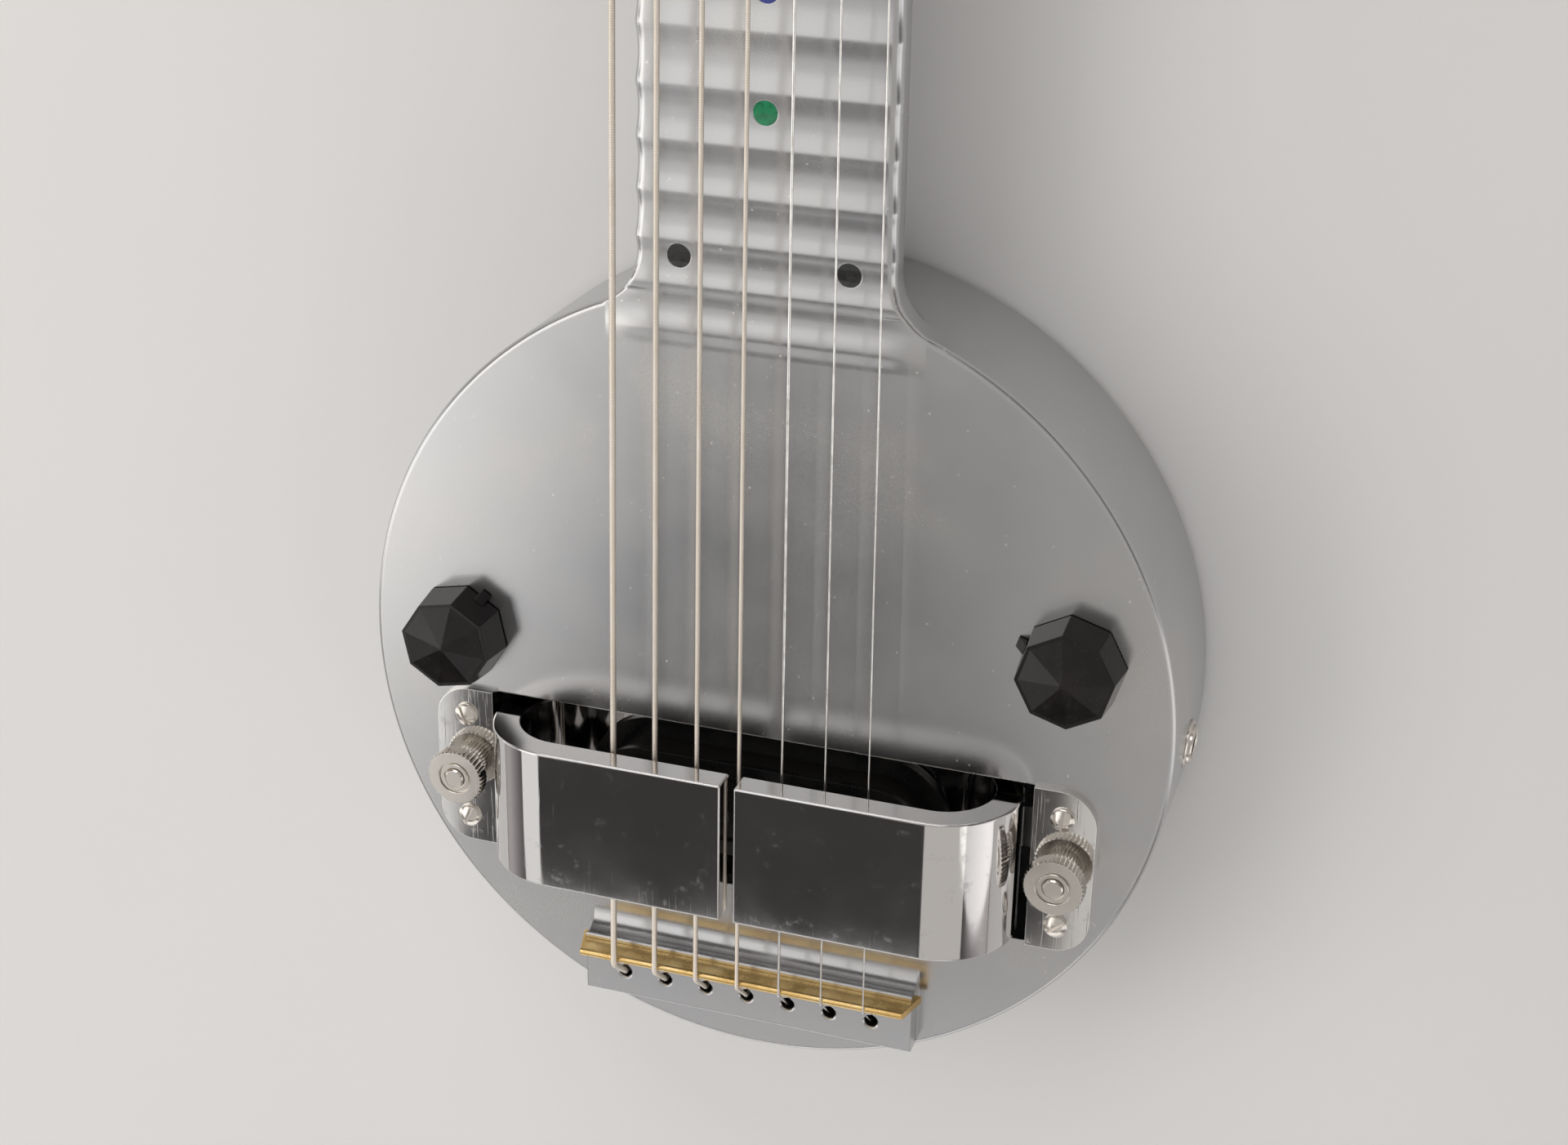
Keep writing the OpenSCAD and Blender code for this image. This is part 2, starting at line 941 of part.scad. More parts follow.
module pot_nuts() {
    color(nickel)
        for (p = knob_pos)
            translate([p[0], p[1], face_z])
                difference() {
                    cylinder(h = 2.2, r = 7.4, $fn = 6);
                    translate([0, 0, -1])
                        cylinder(h = 5, r = pot_bush_r + gap);
                }
}

module pot_shaft(p) {
    color(nickel)
        translate([p[0], p[1], inner_z - pot_h + 2 + gap])
            cylinder(h = face_z + 6.5 - (inner_z - pot_h + 2 + gap), r = shaft_r);
}

module volume_shaft() {
    pot_shaft(knob_pos[0]);
}

module tone_shaft() {
    pot_shaft(knob_pos[1]);
}

// An eight-sided knob with sloping sides, a low eight-sided crown and a small pointer
module knob(k) {
    corner = 1 / cos(22.5);
    top_r = knob_w / 2 * corner;
    base_r = top_r * knob_base_ratio;
    p = knob_pos[k];
    color(plastic)
        translate([p[0], p[1], face_z + knob_lift])
            rotate([0, 0, knob_point[k]])
                difference() {
                    union() {
                        rotate([0, 0, 22.5]) {
                            cylinder(h = knob_h, r1 = base_r, r2 = top_r, $fn = 8);
                            translate([0, 0, knob_h])
                                cylinder(h = knob_crown, r1 = top_r * 0.93, r2 = 0.5, $fn = 8);
                        }
                        translate([base_r * cos(22.5) - 1, 0, 0])
                            pointer();
                    }
                    translate([0, 0, -1])
                        cylinder(h = 4, r = 8);
                    translate([0, 0, -1])
                        cylinder(h = 7.2, r = shaft_r + gap / 2);
                }
}

// A small wedge that stands out from the foot of a knob
module pointer() {
    rotate([90, 0, 0])
        translate([0, 0, -1.2])
            linear_extrude(2.4)
                polygon([[0, 0], [3, 0], [0, 3.2]]);
}

module volume_knob() {
    knob(0);
}

module tone_knob() {
    knob(1);
}

// ---- output jack and wiring ----

module output_jack() {
    shoulder = cavity_r - 0.35;
    color(nickel)
        difference() {
            union() {
                on_jack_axis(shoulder - jack_barrel_l)
                    cylinder(h = jack_barrel_l, r = jack_barrel_r);
                on_jack_axis(shoulder - eps)
                    cylinder(h = jack_seat + 2 - shoulder, r = jack_bush_r);
            }
            on_jack_axis(shoulder - jack_barrel_l + 2)
                cylinder(h = 60, r = plug_r);
        }
}

module jack_nut() {
    color(nickel)
        on_jack_axis(jack_seat)
            tube(1.1, jack_nut_r, jack_bush_r + gap);
}

cap_at = [42, 40, 12];
cap_l = 18;

module tone_capacitor() {
    color("#8a6a2f")
        translate([cap_at[0] - cap_l / 2, cap_at[1], cap_at[2]])
            rotate([0, 90, 0])
                cylinder(h = cap_l, r = 4);
}

lug_z = inner_z - pot_h - 1.2;

// Hook-up wires between the controls, the coil and the jack, laid in the hollow body
module wiring() {
    vol = [knob_pos[0][0] + 4, knob_pos[0][1] + 4, lug_z];
    tone = [knob_pos[1][0] - 4, knob_pos[1][1] + 4, lug_z];
    cap_near = [cap_at[0] + cap_l / 2 + 0.1, cap_at[1], cap_at[2]];
    cap_far = [cap_at[0] - cap_l / 2 - 0.1, cap_at[1], cap_at[2]];
    routes = [
        [vol, vol + [6, 8, -10], [-30, 34, 8], [24, 44, 8], cap_far + [-5, 0, 0], cap_far],
        [cap_near, cap_near + [5, 0, 0], tone + [-3, 8, -6], tone],
        [tone + [0, -8, 0], tone + [-4, -12, -5], [52, -3.6, 16], [57, -3.9, jack_z]],
        [vol + [0, -6, 0], vol + [6, -8, -12], [-36, -4, 14], [-30, -12, 24], [-30, -13, 32]]
    ];
    color("darkolivegreen")
        for (route = routes)
            cord(route, 0.6, [0, 1, 0]);
}

// ---- tuners ----

module tuner_plate(s, count, y0) {
    x0 = s > 0 ? post_x - 10 : -(post_x - 10 + plate_w);
    low = y0 - 9;
    l = (count - 1) * tuner_pitch + 26;
    color(nickel)
        difference() {
            union() {
                translate([x0, low, tuner_top])
                    cube([plate_w, l, tuner_plate_t]);
                for (k = [0:count - 1], x = [post_x - 10, post_x + 10])
                    translate([s > 0 ? x : -x - lug_t, y0 + k * tuner_pitch + worm_c - lug_w / 2,
                            worm_z - worm_r - 1.2])
                        cube([lug_t, lug_w, tuner_top - worm_z + worm_r + 1.2 + eps]);
            }
            for (k = [0:count - 1]) {
                translate([s * post_x, y0 + k * tuner_pitch, tuner_top - 1])
                    cylinder(h = 4, r = post_r + gap);
                translate([0, y0 + k * tuner_pitch + worm_c, worm_z])
                    rotate([0, s * 90, 0])
                        cylinder(h = 60, r = worm_r + gap);
            }
            at_tuner_screws()
                translate([0, 0, -tuner_plate_t - 1])
                    cylinder(h = 4, r = 1.3);
        }
}

bass_count = middle_string;
treble_count = string_count - middle_string;

// Screws along the two plates: one between neighbouring tuners and one at each end
module at_tuner_screws() {
    for (k = [0:bass_count])
        translate([-post_x, screw_y(bass_y0, bass_count, k), head_bottom])
            children();
    for (k = [0:treble_count])
        translate([post_x, screw_y(treble_y0, treble_count, k), head_bottom])
            children();
}

function screw_y(y0, count, k) =
    k == 0 ? y0 - 6.4 : k == count ? y0 + (count - 1) * tuner_pitch + 13.6
    : y0 + (k - 1) * tuner_pitch + 15;

module tuner_plate_bass() {
    tuner_plate(-1, bass_count, bass_y0);
}

module tuner_plate_treble() {
    tuner_plate(1, treble_count, treble_y0);
}

module tuner_screws() {
    color(nickel)
        at_tuner_screws()
            translate([0, 0, -tuner_plate_t])
                mirror([0, 0, 1])
                    round_screw(1.7, 1, tuner_plate_t + 7);
}

module tuner_bushings() {
    color(nickel)
        at_posts(head_top)
            difference() {
                union() {
                    cylinder(h = 1.4, r = 5.2);
                    translate([0, 0, -6])
                        cylinder(h = 6.1, r = post_r + 0.6 - eps);
                }
                translate([0, 0, -10])
                    cylinder(h = 20, r = post_r + gap);
            }
}

function gear_outline() = [
    for (k = [0:gear_teeth - 1],
        q = [[-0.36, gear_root_r], [-0.16, gear_r], [0.16, gear_r], [0.36, gear_root_r]])
    let (a = 360 * (k + q[0]) / gear_teeth)
    q[1] * [cos(a), sin(a)]];

// Half of a post in outline: its shaft, with the turns of its string side by side on it
function post_outline(r, turns) =
    let (low = wrap_z - 2 * r * (turns - 1), lean = 70)
    concat(
        [[0, gear_z - 1.4], [post_r, gear_z - 1.4], [post_r, low - r * sin(lean)]],
        [for (k = [0:turns - 1]) each arc([post_r + r, low + 2 * r * k], r, -lean, lean, 6)],
        [[post_r, wrap_z + r * sin(lean)], [post_r, post_top], [0, post_top]]
    );

// A post with its gear below the plate and the turns of its string above the head
module tuner_post(i) {
    color(nickel)
        translate([side(i) * post_x, post_y(i), 0])
            difference() {
                union() {
                    rotate_extrude()
                        polygon(post_outline(wrap_r(i), 4));
                    translate([0, 0, gear_z])
                        linear_extrude(gear_h)
                            polygon(gear_outline());
                }
                translate([0, 0, wrap_z + 3.6])
                    rotate([90, 0, 0])
                        cylinder(h = 20, r = 0.8, center = true);
            }
}

// A worm shaft across the plate, with its thumb button beyond the head's edge
module tuner_key(i) {
    s = side(i);
    inner = post_x - 10 - 1.4;
    color(nickel)
        translate([0, post_y(i) + worm_c, worm_z]) {
            bar([s * inner, 0, 0], [s * (key_reach + 2), 0, 0], worm_r);
            bar([s * inner, 0, 0], [s * (inner + 1.2), 0, 0], worm_r + 0.8);
            bar([s * (key_reach - 4), 0, 0], [s * (key_reach + 1), 0, 0], worm_r + 0.8);
            translate([s * (key_reach + button_w / 2), 0, -button_t / 2])
                rotate([0, 0, 90])
                    linear_extrude(button_t)
                        stadium(button_l, button_w);
        }
}

body_casting();
back_cover();
back_cover_screws();
bridge_blade();
nut_blade();
string_balls();
magnet_left();
magnet_right();
magnet_screws();
pole_pieces();
coil_bobbin();
coil_winding();
pickup_plate();
height_studs();
height_springs();
bracket_left();
bracket_right();
bracket_screws();
thumb_nut_left();
thumb_nut_right();
volume_pot();
tone_pot();
pot_nuts();
volume_shaft();
tone_shaft();
volume_knob();
tone_knob();
output_jack();
jack_nut();
tone_capacitor();
wiring();
dots_black();
dots_green();
dots_blue();
dots_red();
tuner_plate_bass();
tuner_plate_treble();
tuner_screws();
tuner_bushings();
for (i = [1:string_count]) {
    string(i);
    tuner_post(i);
    tuner_key(i);
}
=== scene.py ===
"""Looks of a seven-string electric lap steel guitar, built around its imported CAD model.

Shapes are worked out in millimetres in the CAD frame (+Z out of the face, +Y to the head, +X to the
treble side, origin in the middle of the body's back) and written to Blender in metres.
"""

import json
import math

import bpy
from mathutils import Matrix, Vector

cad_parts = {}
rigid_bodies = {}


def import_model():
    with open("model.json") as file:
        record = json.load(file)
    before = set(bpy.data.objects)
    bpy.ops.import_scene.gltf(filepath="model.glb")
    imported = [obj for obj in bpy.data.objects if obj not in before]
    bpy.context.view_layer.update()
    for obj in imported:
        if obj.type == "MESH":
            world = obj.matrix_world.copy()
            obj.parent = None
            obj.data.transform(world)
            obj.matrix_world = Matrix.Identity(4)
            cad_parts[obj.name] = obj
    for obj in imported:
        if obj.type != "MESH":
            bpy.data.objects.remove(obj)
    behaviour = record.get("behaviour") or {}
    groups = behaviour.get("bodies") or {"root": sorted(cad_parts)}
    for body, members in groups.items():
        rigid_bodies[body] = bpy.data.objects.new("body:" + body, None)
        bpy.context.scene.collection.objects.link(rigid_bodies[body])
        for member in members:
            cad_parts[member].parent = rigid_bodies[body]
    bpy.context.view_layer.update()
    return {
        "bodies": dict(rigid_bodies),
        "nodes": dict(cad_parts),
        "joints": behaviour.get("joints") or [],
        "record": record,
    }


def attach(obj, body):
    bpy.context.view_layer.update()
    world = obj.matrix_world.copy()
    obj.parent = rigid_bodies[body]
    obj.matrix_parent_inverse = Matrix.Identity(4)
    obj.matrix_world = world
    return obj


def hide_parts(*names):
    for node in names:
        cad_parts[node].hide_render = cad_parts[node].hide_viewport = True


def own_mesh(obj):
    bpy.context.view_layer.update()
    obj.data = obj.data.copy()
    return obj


MM = 0.001

# ---- sizes shared with the CAD part, in millimetres ----

BODY_R = 91.5
BACK_R = BODY_R - 0.7
FACE_Z = 41.0
FACE_T = 4.0
INNER_Z = FACE_Z - FACE_T
CAVITY_R = 83.0
CAVITY_END = -62.0
COVER_R = CAVITY_R + 3
COVER_END = CAVITY_END - 4
COVER_T = 2.8

SCALE = 635.0
BRIDGE_Y = -68.7
NUT_Y = BRIDGE_Y + SCALE
FRETS = 25
FRET_H = 0.7
RIDGE_END = 5.0
CREST_HALF = 1.5
NECK_W = 55.6
NUT_W = 52.0
NECK_START = 60.0
FLARE_R = 13.0
NECK_AXIS_Z = FACE_Z + 2.2
NECK_R = (29.0, 27.0)

HEAD_W = 72.0
HEAD_TOP = FACE_Z - 8
HEAD_BOTTOM = HEAD_TOP - 13
HEAD_END = NUT_Y + 131
HEAD_CORNER = 9.0
NUT_PAD = 4.0

TAIL_HALF = 39.0
TAIL_END = -81.7
TAIL_SHELF = 5.1
TAIL_CREST = 5.6
TAIL_COVE = 5.0
HOLE_Y = -75.5

STRING_D = (1.4, 1.2, 1.05, 0.9, 0.6, 0.45, 0.4)
STRINGS = len(STRING_D)
ALL_STRINGS = range(1, STRINGS + 1)
WOUND = 4
BRIDGE_TOP = FACE_Z + 11.2
NUT_TOP = FACE_Z + 9.4
BRIDGE_PITCH = 9.85
NUT_PITCH = 8.1
BLADE_T = 1.6
STRING_REST = 0.03
BALL_POCKET_H = 4.0

PICKUP_Y = -30.6
LOOP_L = 121.2
LOOP_R = 17.5
LOOP_Z = FACE_Z + 19.6 - LOOP_R
MAGNET_T = 6.2
MAGNET_W = 33.4
MAGNET_GAP = 3.0
SLOT_X = LOOP_L / 2 + 3.8
SLOT_Y = 19.4
SLOT_CORNER = 3.0
LEG_TOP = LOOP_Z - LOOP_R + MAGNET_T
STUD_X = 69.5
STUD_R = 2.25

BRACKET_T = 1.5
BRACKET_IN = LOOP_L / 2 + 2.1
BRACKET_OUT = 76.6
BRACKET_HALF = 19.5
BRACKET_CORNER = 8.0
BRACKET_LIP = 7.0
SCREW_X = 69.3
SCREW_DY = 13.1

KNOBS = (("volume", -70.5, 2.7, 57.0), ("tone", 68.9, 18.1, 163.0))
KNOB_W = 19.5
KNOB_H = 8.3
KNOB_LIFT = 0.4
KNOB_CROWN = 1.9
POT_BUSH_R = 4.6

JACK_ANGLE = -3.9
JACK_Z = FACE_Z / 2
JACK_SEAT = BODY_R - 0.9
JACK_NUT_R = 5.2
JACK_BUSH_R = 4.3
PLUG_R = 3.2

TUNER_PITCH = 25.0
POST_X = 22.0
POST_R = 3.0
WRAP_Z = HEAD_TOP + 7
BASS_Y0 = NUT_Y + 27.5
TREBLE_Y0 = BASS_Y0 + TUNER_PITCH / 2

DOT_R = 2.55
DOT_ALONG = 0.36
DOT_PAIR_X = 18.2
DOT_FRETS = (5, 7, 9, 12, 17, 19, 21, 24)
COVER_SCREWS = [(80 * math.cos(math.radians(a)), 80 * math.sin(math.radians(a)))
                for a in (50, 90, 130, 205, 335)] + [(0.0, CAVITY_END + 1.5)]

# ---- studio sizes, in metres and degrees ----

EYE = (0.15961, 0.25062, 0.50834)
LOOK_AT = (0.00558, 0.02902, 0.041)
ROLL = 1.0488
CEILING = 1.04
WHITE = (1.0, 0.99, 0.975)
WARM = (1.0, 0.965, 0.92)


def fret_y(n):
    return BRIDGE_Y + SCALE * 2 ** (-n / 12)


def string_x(i, y):
    """Distance across of string i, counted from 1 on the bass side, at a place along the neck."""
    pitch = BRIDGE_PITCH + (NUT_PITCH - BRIDGE_PITCH) * (y - BRIDGE_Y) / SCALE
    return (i - WOUND) * pitch


def post_place(i):
    """Where the post of string i stands on the head."""
    if i <= WOUND:
        return -POST_X, BASS_Y0 + (i - 1) * TUNER_PITCH
    return POST_X, TREBLE_Y0 + (STRINGS - i) * TUNER_PITCH


# ---- shapes: a shape is a list of points and a list of faces ----


def arc(cx, cy, r, a0, a1, n=8):
    """Points on an arc from bearing a0 to a1, in degrees."""
    turn = [math.radians(a0 + (a1 - a0) * k / n) for k in range(n + 1)]
    return [(cx + r * math.cos(a), cy + r * math.sin(a)) for a in turn]


def rounded_rect(x, y, r, n=8):
    """Outline of a rectangle of half sizes x and y with round corners."""
    return (arc(x - r, y - r, r, 0, 90, n) + arc(r - x, y - r, r, 90, 180, n)
            + arc(r - x, r - y, r, 180, 270, n) + arc(x - r, r - y, r, 270, 360, n))


def stadium(length, w, n=24):
    """Outline of a slot shape with round ends."""
    r = w / 2
    x = length / 2 - r
    return arc(x, 0, r, -90, 90, n) + arc(-x, 0, r, 90, 270, n)


def stack(rings):
    """Closed rings of equal length joined one to the next, with flat ends."""
    n = len(rings[0])
    verts = [p for ring in rings for p in ring]
    faces = [list(range(n))[::-1], [len(verts) - n + k for k in range(n)]]
    for row in range(len(rings) - 1):
        a, b = row * n, (row + 1) * n
        faces += [[a + k, a + (k + 1) % n, b + (k + 1) % n, b + k] for k in range(n)]
    return verts, faces


def prism(outline, z0, z1):
    """An outline drawn anticlockwise in plan, raised from z0 to z1."""
    return stack([[(x, y, z) for x, y in outline] for z in (z0, z1)])


def across(outline, x0, x1):
    """An outline of (y, z) points, anticlockwise seen from +X, drawn out from x0 to x1."""
    return stack([[(x, y, z) for y, z in outline] for x in (x0, x1)])


def lathe(profile, n=48, wave=None):
    """(r, z) points from bottom to top turned round Z. wave(r, z, bearing) may change a radius."""
    rings = []
    for r, z in profile:
        turn = [2 * math.pi * k / n for k in range(n)]
        radius = [wave(r, z, a) if wave else r for a in turn]
        rings.append([(q * math.cos(a), q * math.sin(a), z) for q, a in zip(radius, turn)])
    return stack(rings)


def lathe_ring(profile, n, wave=None):
    """A closed (r, z) outline turned round Z into a ring with a hole."""
    verts, faces = lathe(profile, n, wave)
    faces = faces[2:]
    last = (len(profile) - 1) * n
    faces += [[last + k, last + (k + 1) % n, (k + 1) % n, k] for k in range(n)]
    return verts, faces


def placed(shape, at, turn=None):
    """A shape moved to a place, after an optional turn."""
    matrix = Matrix.Translation(at) @ (turn or Matrix())
    return [tuple(matrix @ Vector(p)) for p in shape[0]], shape[1]


def merged(shapes):
    verts, faces = [], []
    for shape_verts, shape_faces in shapes:
        faces += [[k + len(verts) for k in face] for face in shape_faces]
        verts += shape_verts
    return verts, faces


def sweep(route, radius, sides=12):
    """A round cord along a route that nowhere runs along X."""
    points = [Vector(p) for p in route]
    rings = []
    for k, p in enumerate(points):
        ahead = points[min(k + 1, len(points) - 1)] - points[max(k - 1, 0)]
        u = ahead.cross(Vector((1, 0, 0))).normalized()
        v = ahead.cross(u).normalized()
        turn = [2 * math.pi * q / sides for q in range(sides)]
        rings.append([tuple(p + radius * (math.cos(a) * u + math.sin(a) * v)) for a in turn])
    return stack(rings)


# ---- from shapes to pieces ----


def solid(name, shape):
    """A mesh object made from a shape."""
    data = bpy.data.meshes.new(name)
    data.from_pydata([[c * MM for c in p] for p in shape[0]], [], shape[1])
    obj = bpy.data.objects.new(name, data)
    bpy.context.scene.collection.objects.link(obj)
    return obj


def apply_modifiers(obj):
    graph = bpy.context.evaluated_depsgraph_get()
    data = bpy.data.meshes.new_from_object(obj.evaluated_get(graph))
    obj.modifiers.clear()
    obj.data = data


def combine(obj, shape, operation):
    """Adds a shape to obj (UNION) or cuts it out (DIFFERENCE)."""
    tool = solid("tool", shape)
    modifier = obj.modifiers.new("combine", "BOOLEAN")
    modifier.object = tool
    modifier.operation = operation
    modifier.solver = "MANIFOLD"
    apply_modifiers(obj)
    bpy.data.objects.remove(tool)


def soften(obj, width, segments=3, angle=35):
    """Rounds the sharp edges, by a width in millimetres."""
    modifier = obj.modifiers.new("soften", "BEVEL")
    modifier.width = width * MM
    modifier.segments = segments
    modifier.limit_method = "ANGLE"
    modifier.angle_limit = math.radians(angle)
    apply_modifiers(obj)


def smooth(obj, angle=35):
    """Smooth shading that keeps flat faces flat and sharp edges sharp."""
    obj.data.shade_smooth()
    obj.data.set_sharp_from_angle(angle=math.radians(angle))
    modifier = obj.modifiers.new("normals", "WEIGHTED_NORMAL")
    modifier.keep_sharp = True
    apply_modifiers(obj)


def finished(obj, material, body, slot, *nodes):
    """Gives a piece its material and body, and lets it stand for its CAD nodes. Its slot is not used.
    """
    obj.data.materials.clear()
    obj.data.materials.append(material)
    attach(obj, body)
    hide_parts(*nodes)
    return obj


# ---- the casting ----


def body_disc():
    """The solid round body before it is hollowed, with its rounded rims."""
    edge = arc(BACK_R - 3, 3, 3, -90, 0)
    rim = arc(BODY_R - 1.2, FACE_Z - 1.2, 1.2, 0, 90)
    return lathe(edge + rim, 256)


def ridge(y):
    """Height above the face along the neck: shallow hollows between low frets with worn tops."""
    if y < fret_y(FRETS) or y > fret_y(1):
        slope = RIDGE_END if y < fret_y(FRETS) else 2 * RIDGE_END
        off = min(abs(y - fret_y(FRETS)), abs(y - fret_y(1))) / slope
        return FRET_H * (1 - off * off * (3 - 2 * off)) if off < 1 else 0
    n = int(-12 * math.log2((y - BRIDGE_Y) / SCALE) + 1e-9)
    cell = fret_y(n) - fret_y(n + 1)
    u = (y - fret_y(n + 1)) / cell
    off = min(u, 1 - u) * cell
    steepest = 4 * FRET_H / cell
    worn = 0.3 * steepest * CREST_HALF * max(0, 1 - off / CREST_HALF) ** 2
    return FRET_H * (2 * u - 1) ** 2 - worn


def flare():
    """Middle of the fillet between the body's edge and the neck's side."""
    x = NECK_W / 2 + FLARE_R
    return x, math.sqrt((BODY_R + FLARE_R) ** 2 - x**2)


def neck_half(y):
    """Half the neck's width, with the flare into the body at its lower end."""
    fx, fy = flare()
    lowest = fy - FLARE_R * fy / (BODY_R + FLARE_R)
    if y < fy:
        return fx - math.sqrt(FLARE_R**2 - (fy - max(y, lowest)) ** 2)
    return (NECK_W + (NUT_W - NECK_W) * (y - BODY_R) / (NUT_Y - BODY_R)) / 2


def between(y, *points):
    """Value at y on a line through (y, value) points."""
    for (y0, v0), (y1, v1) in zip(points, points[1:]):
        if y <= y1:
            return v0 + (v1 - v0) * max(0, (y - y0) / (y1 - y0))
    return points[-1][1]


def neck_top(y):
    """Height of the neck's top without its frets, with the nut's pad and the way down to the head."""
    pad = [(NUT_Y - 4 + 4 * math.cos(math.radians(a)) - 4, FACE_Z + 4 + 4 * math.sin(math.radians(a)))
           for a in range(270, 346, 15)]
    return between(y, (NECK_START, FACE_Z), *pad, (NUT_Y - 3, FACE_Z + NUT_PAD),
                   (NUT_Y + 3.5, FACE_Z + NUT_PAD), (NUT_Y + 12, HEAD_TOP + 2),
                   (NUT_Y + 26, HEAD_TOP - 1))


def neck_section(y):
    """The neck's outline across at y: fingerboard, rounded edges, straight sides and round back."""
    w = neck_half(y)
    straight = (NECK_W + (NUT_W - NECK_W) * (y - BODY_R) / (NUT_Y - BODY_R)) / 2
    share = (y - NECK_START) / (NUT_Y + 26 - NECK_START)
    r = NECK_R[0] + (NECK_R[1] - NECK_R[0]) * share
    edge = between(y, (84, 1.2), (110, 2.2))
    top = neck_top(y)
    hump = ridge(y) if y < NUT_Y - 9 else 0
    bulge = 0.5 * hump if y > 92 else 0
    low = between(y, (NUT_Y - 24, 0), (NUT_Y - 23.9, HEAD_BOTTOM - 5), (NUT_Y + 16, HEAD_BOTTOM))
    points = []
    for k in range(-10, 11):
        x = (w - edge) * k / 10
        fade = min(1, max(0, (w - abs(x)) / 9)) if y < 88 else 1
        points.append((x, top + hump * fade * fade * (3 - 2 * fade)))
    lift = hump if y >= 88 else 0
    corner = arc(w - edge + bulge, top + lift - edge, edge, 90, 0, 6)[1:]
    start = math.degrees(math.acos(straight / r))
    round_back = arc(0, NECK_AXIS_Z, r, -start, start - 180, 32)
    back = [(x * w / straight, max(z, low)) for x, z in round_back]
    left = [(-x, z) for x, z in reversed(corner)]
    return [(x, y, z) for x, z in points + corner + back + left]


def neck():
    fx, fy = flare()
    stations = {NECK_START, 72.0, fy + 6, NUT_Y - 24, NUT_Y - 23.9, NUT_Y - 3, NUT_Y + 3.5, NUT_Y + 12,
                NUT_Y + 16, NUT_Y + 26}
    stations |= {fy - FLARE_R * math.sin(math.radians(a)) for a in range(0, 67, 6)}
    stations |= {NUT_Y - 8 + 4 * math.cos(math.radians(a)) for a in range(270, 346, 15)}
    stations |= {fret_y(FRETS) - RIDGE_END * k / 6 for k in range(7)}
    stations |= {fret_y(1) + RIDGE_END * k / 3 for k in range(7)}
    for n in range(1, FRETS):
        stations |= {fret_y(n + 1) + (fret_y(n) - fret_y(n + 1)) * k / 16 for k in range(17)}
        stations |= {fret_y(n) + CREST_HALF * k / 5 for k in range(-5, 6)}
    kept = []
    for y in sorted(stations):
        if not kept or y - kept[-1] > 0.09:
            kept.append(y)
    return stack([neck_section(y) for y in kept])


def head_half(y):
    """Half the head's width: a smooth widening above the nut, then a slight taper."""
    t = min(1, max(0, (y - NUT_Y - 3) / 22))
    wide = NUT_W / 2 + (HEAD_W - NUT_W) / 2 * t * t * (3 - 2 * t)
    return wide - 2 * max(0, (y - NUT_Y - 25) / 97)


def head_section(y, w):
    top = between(y, (NUT_Y + 3.5, FACE_Z + NUT_PAD), (NUT_Y + 6, FACE_Z + 2.5),
                  (NUT_Y + 15, HEAD_TOP))
    bottom = between(y, (NUT_Y - 2, HEAD_BOTTOM + 10), (NUT_Y + 16, HEAD_BOTTOM))
    outline = rounded_rect((top - bottom) / 2, w, 1.6, 5)
    return [(x, y, (top + bottom) / 2 + z) for z, x in outline]


def head():
    """The head as rounded sections from the nut to its end."""
    last = HEAD_END - HEAD_CORNER
    sections = [head_section(y, head_half(y)) for y in [NUT_Y - 2 + 0.75 * k for k in range(37)]]
    corner = arc(head_half(last) - HEAD_CORNER, last, HEAD_CORNER, 0, 90, 12)
    return stack(sections + [head_section(y, w) for w, y in corner])


def tail_block():
    """The block behind the pickup: a cove, a crest for the bridge blade and a shelf."""
    front = BRIDGE_Y + BLADE_T / 2
    cove = arc(CAVITY_END - 0.4, FACE_Z + TAIL_COVE, TAIL_COVE, 270, 187, 10)
    crest = arc(front + 0.7, FACE_Z + TAIL_CREST - 0.7, 0.7, 20, 90, 5)
    lip = [(BRIDGE_Y - BLADE_T, FACE_Z + TAIL_CREST), (BRIDGE_Y - BLADE_T - 0.4, FACE_Z + TAIL_SHELF)]
    end = arc(TAIL_END + 0.5, FACE_Z + TAIL_SHELF - 0.5, 0.5, 90, 180, 4)
    outline = [(CAVITY_END - 0.4, FACE_Z - 1)] + cove + crest + lip + end + [(TAIL_END, FACE_Z - 1)]
    return across(outline, -TAIL_HALF, TAIL_HALF)


def segment(r, end, n=192):
    """Outline of a disc cut off by a straight line across it."""
    a = math.degrees(math.asin(end / r))
    return arc(0, 0, r, a, 180 - a, n)


def rod(at, r, z0, z1, n=32):
    return placed(lathe([(r, z0), (r, z1)], n), (at[0], at[1], 0))


def radial(shape, r):
    """A shape's +Z turned to point out of the side wall along the jack's axis, at a distance r."""
    turn = Matrix.Rotation(math.radians(JACK_ANGLE), 4, "Z")
    outward = turn @ Matrix.Rotation(math.radians(90), 4, "Y")
    return placed(shape, turn @ Vector((r, 0, JACK_Z)), outward)


def screw_row(x, y0, count):
    """Screws along one tuner plate: one between neighbouring tuners and one at each end."""
    last = y0 + (count - 1) * TUNER_PITCH + 13.6
    between_tuners = [y0 + 15 + k * TUNER_PITCH for k in range(count - 1)]
    return [(x, y) for y in [y0 - 6.4] + between_tuners + [last]]


def tuner_screw_places():
    return screw_row(-POST_X, BASS_Y0, WOUND) + screw_row(POST_X, TREBLE_Y0, STRINGS - WOUND)


def sides():
    """The four signs (across, along) of a group of two by two."""
    return [(s, t) for s in (-1, 1) for t in (-1, 1)]


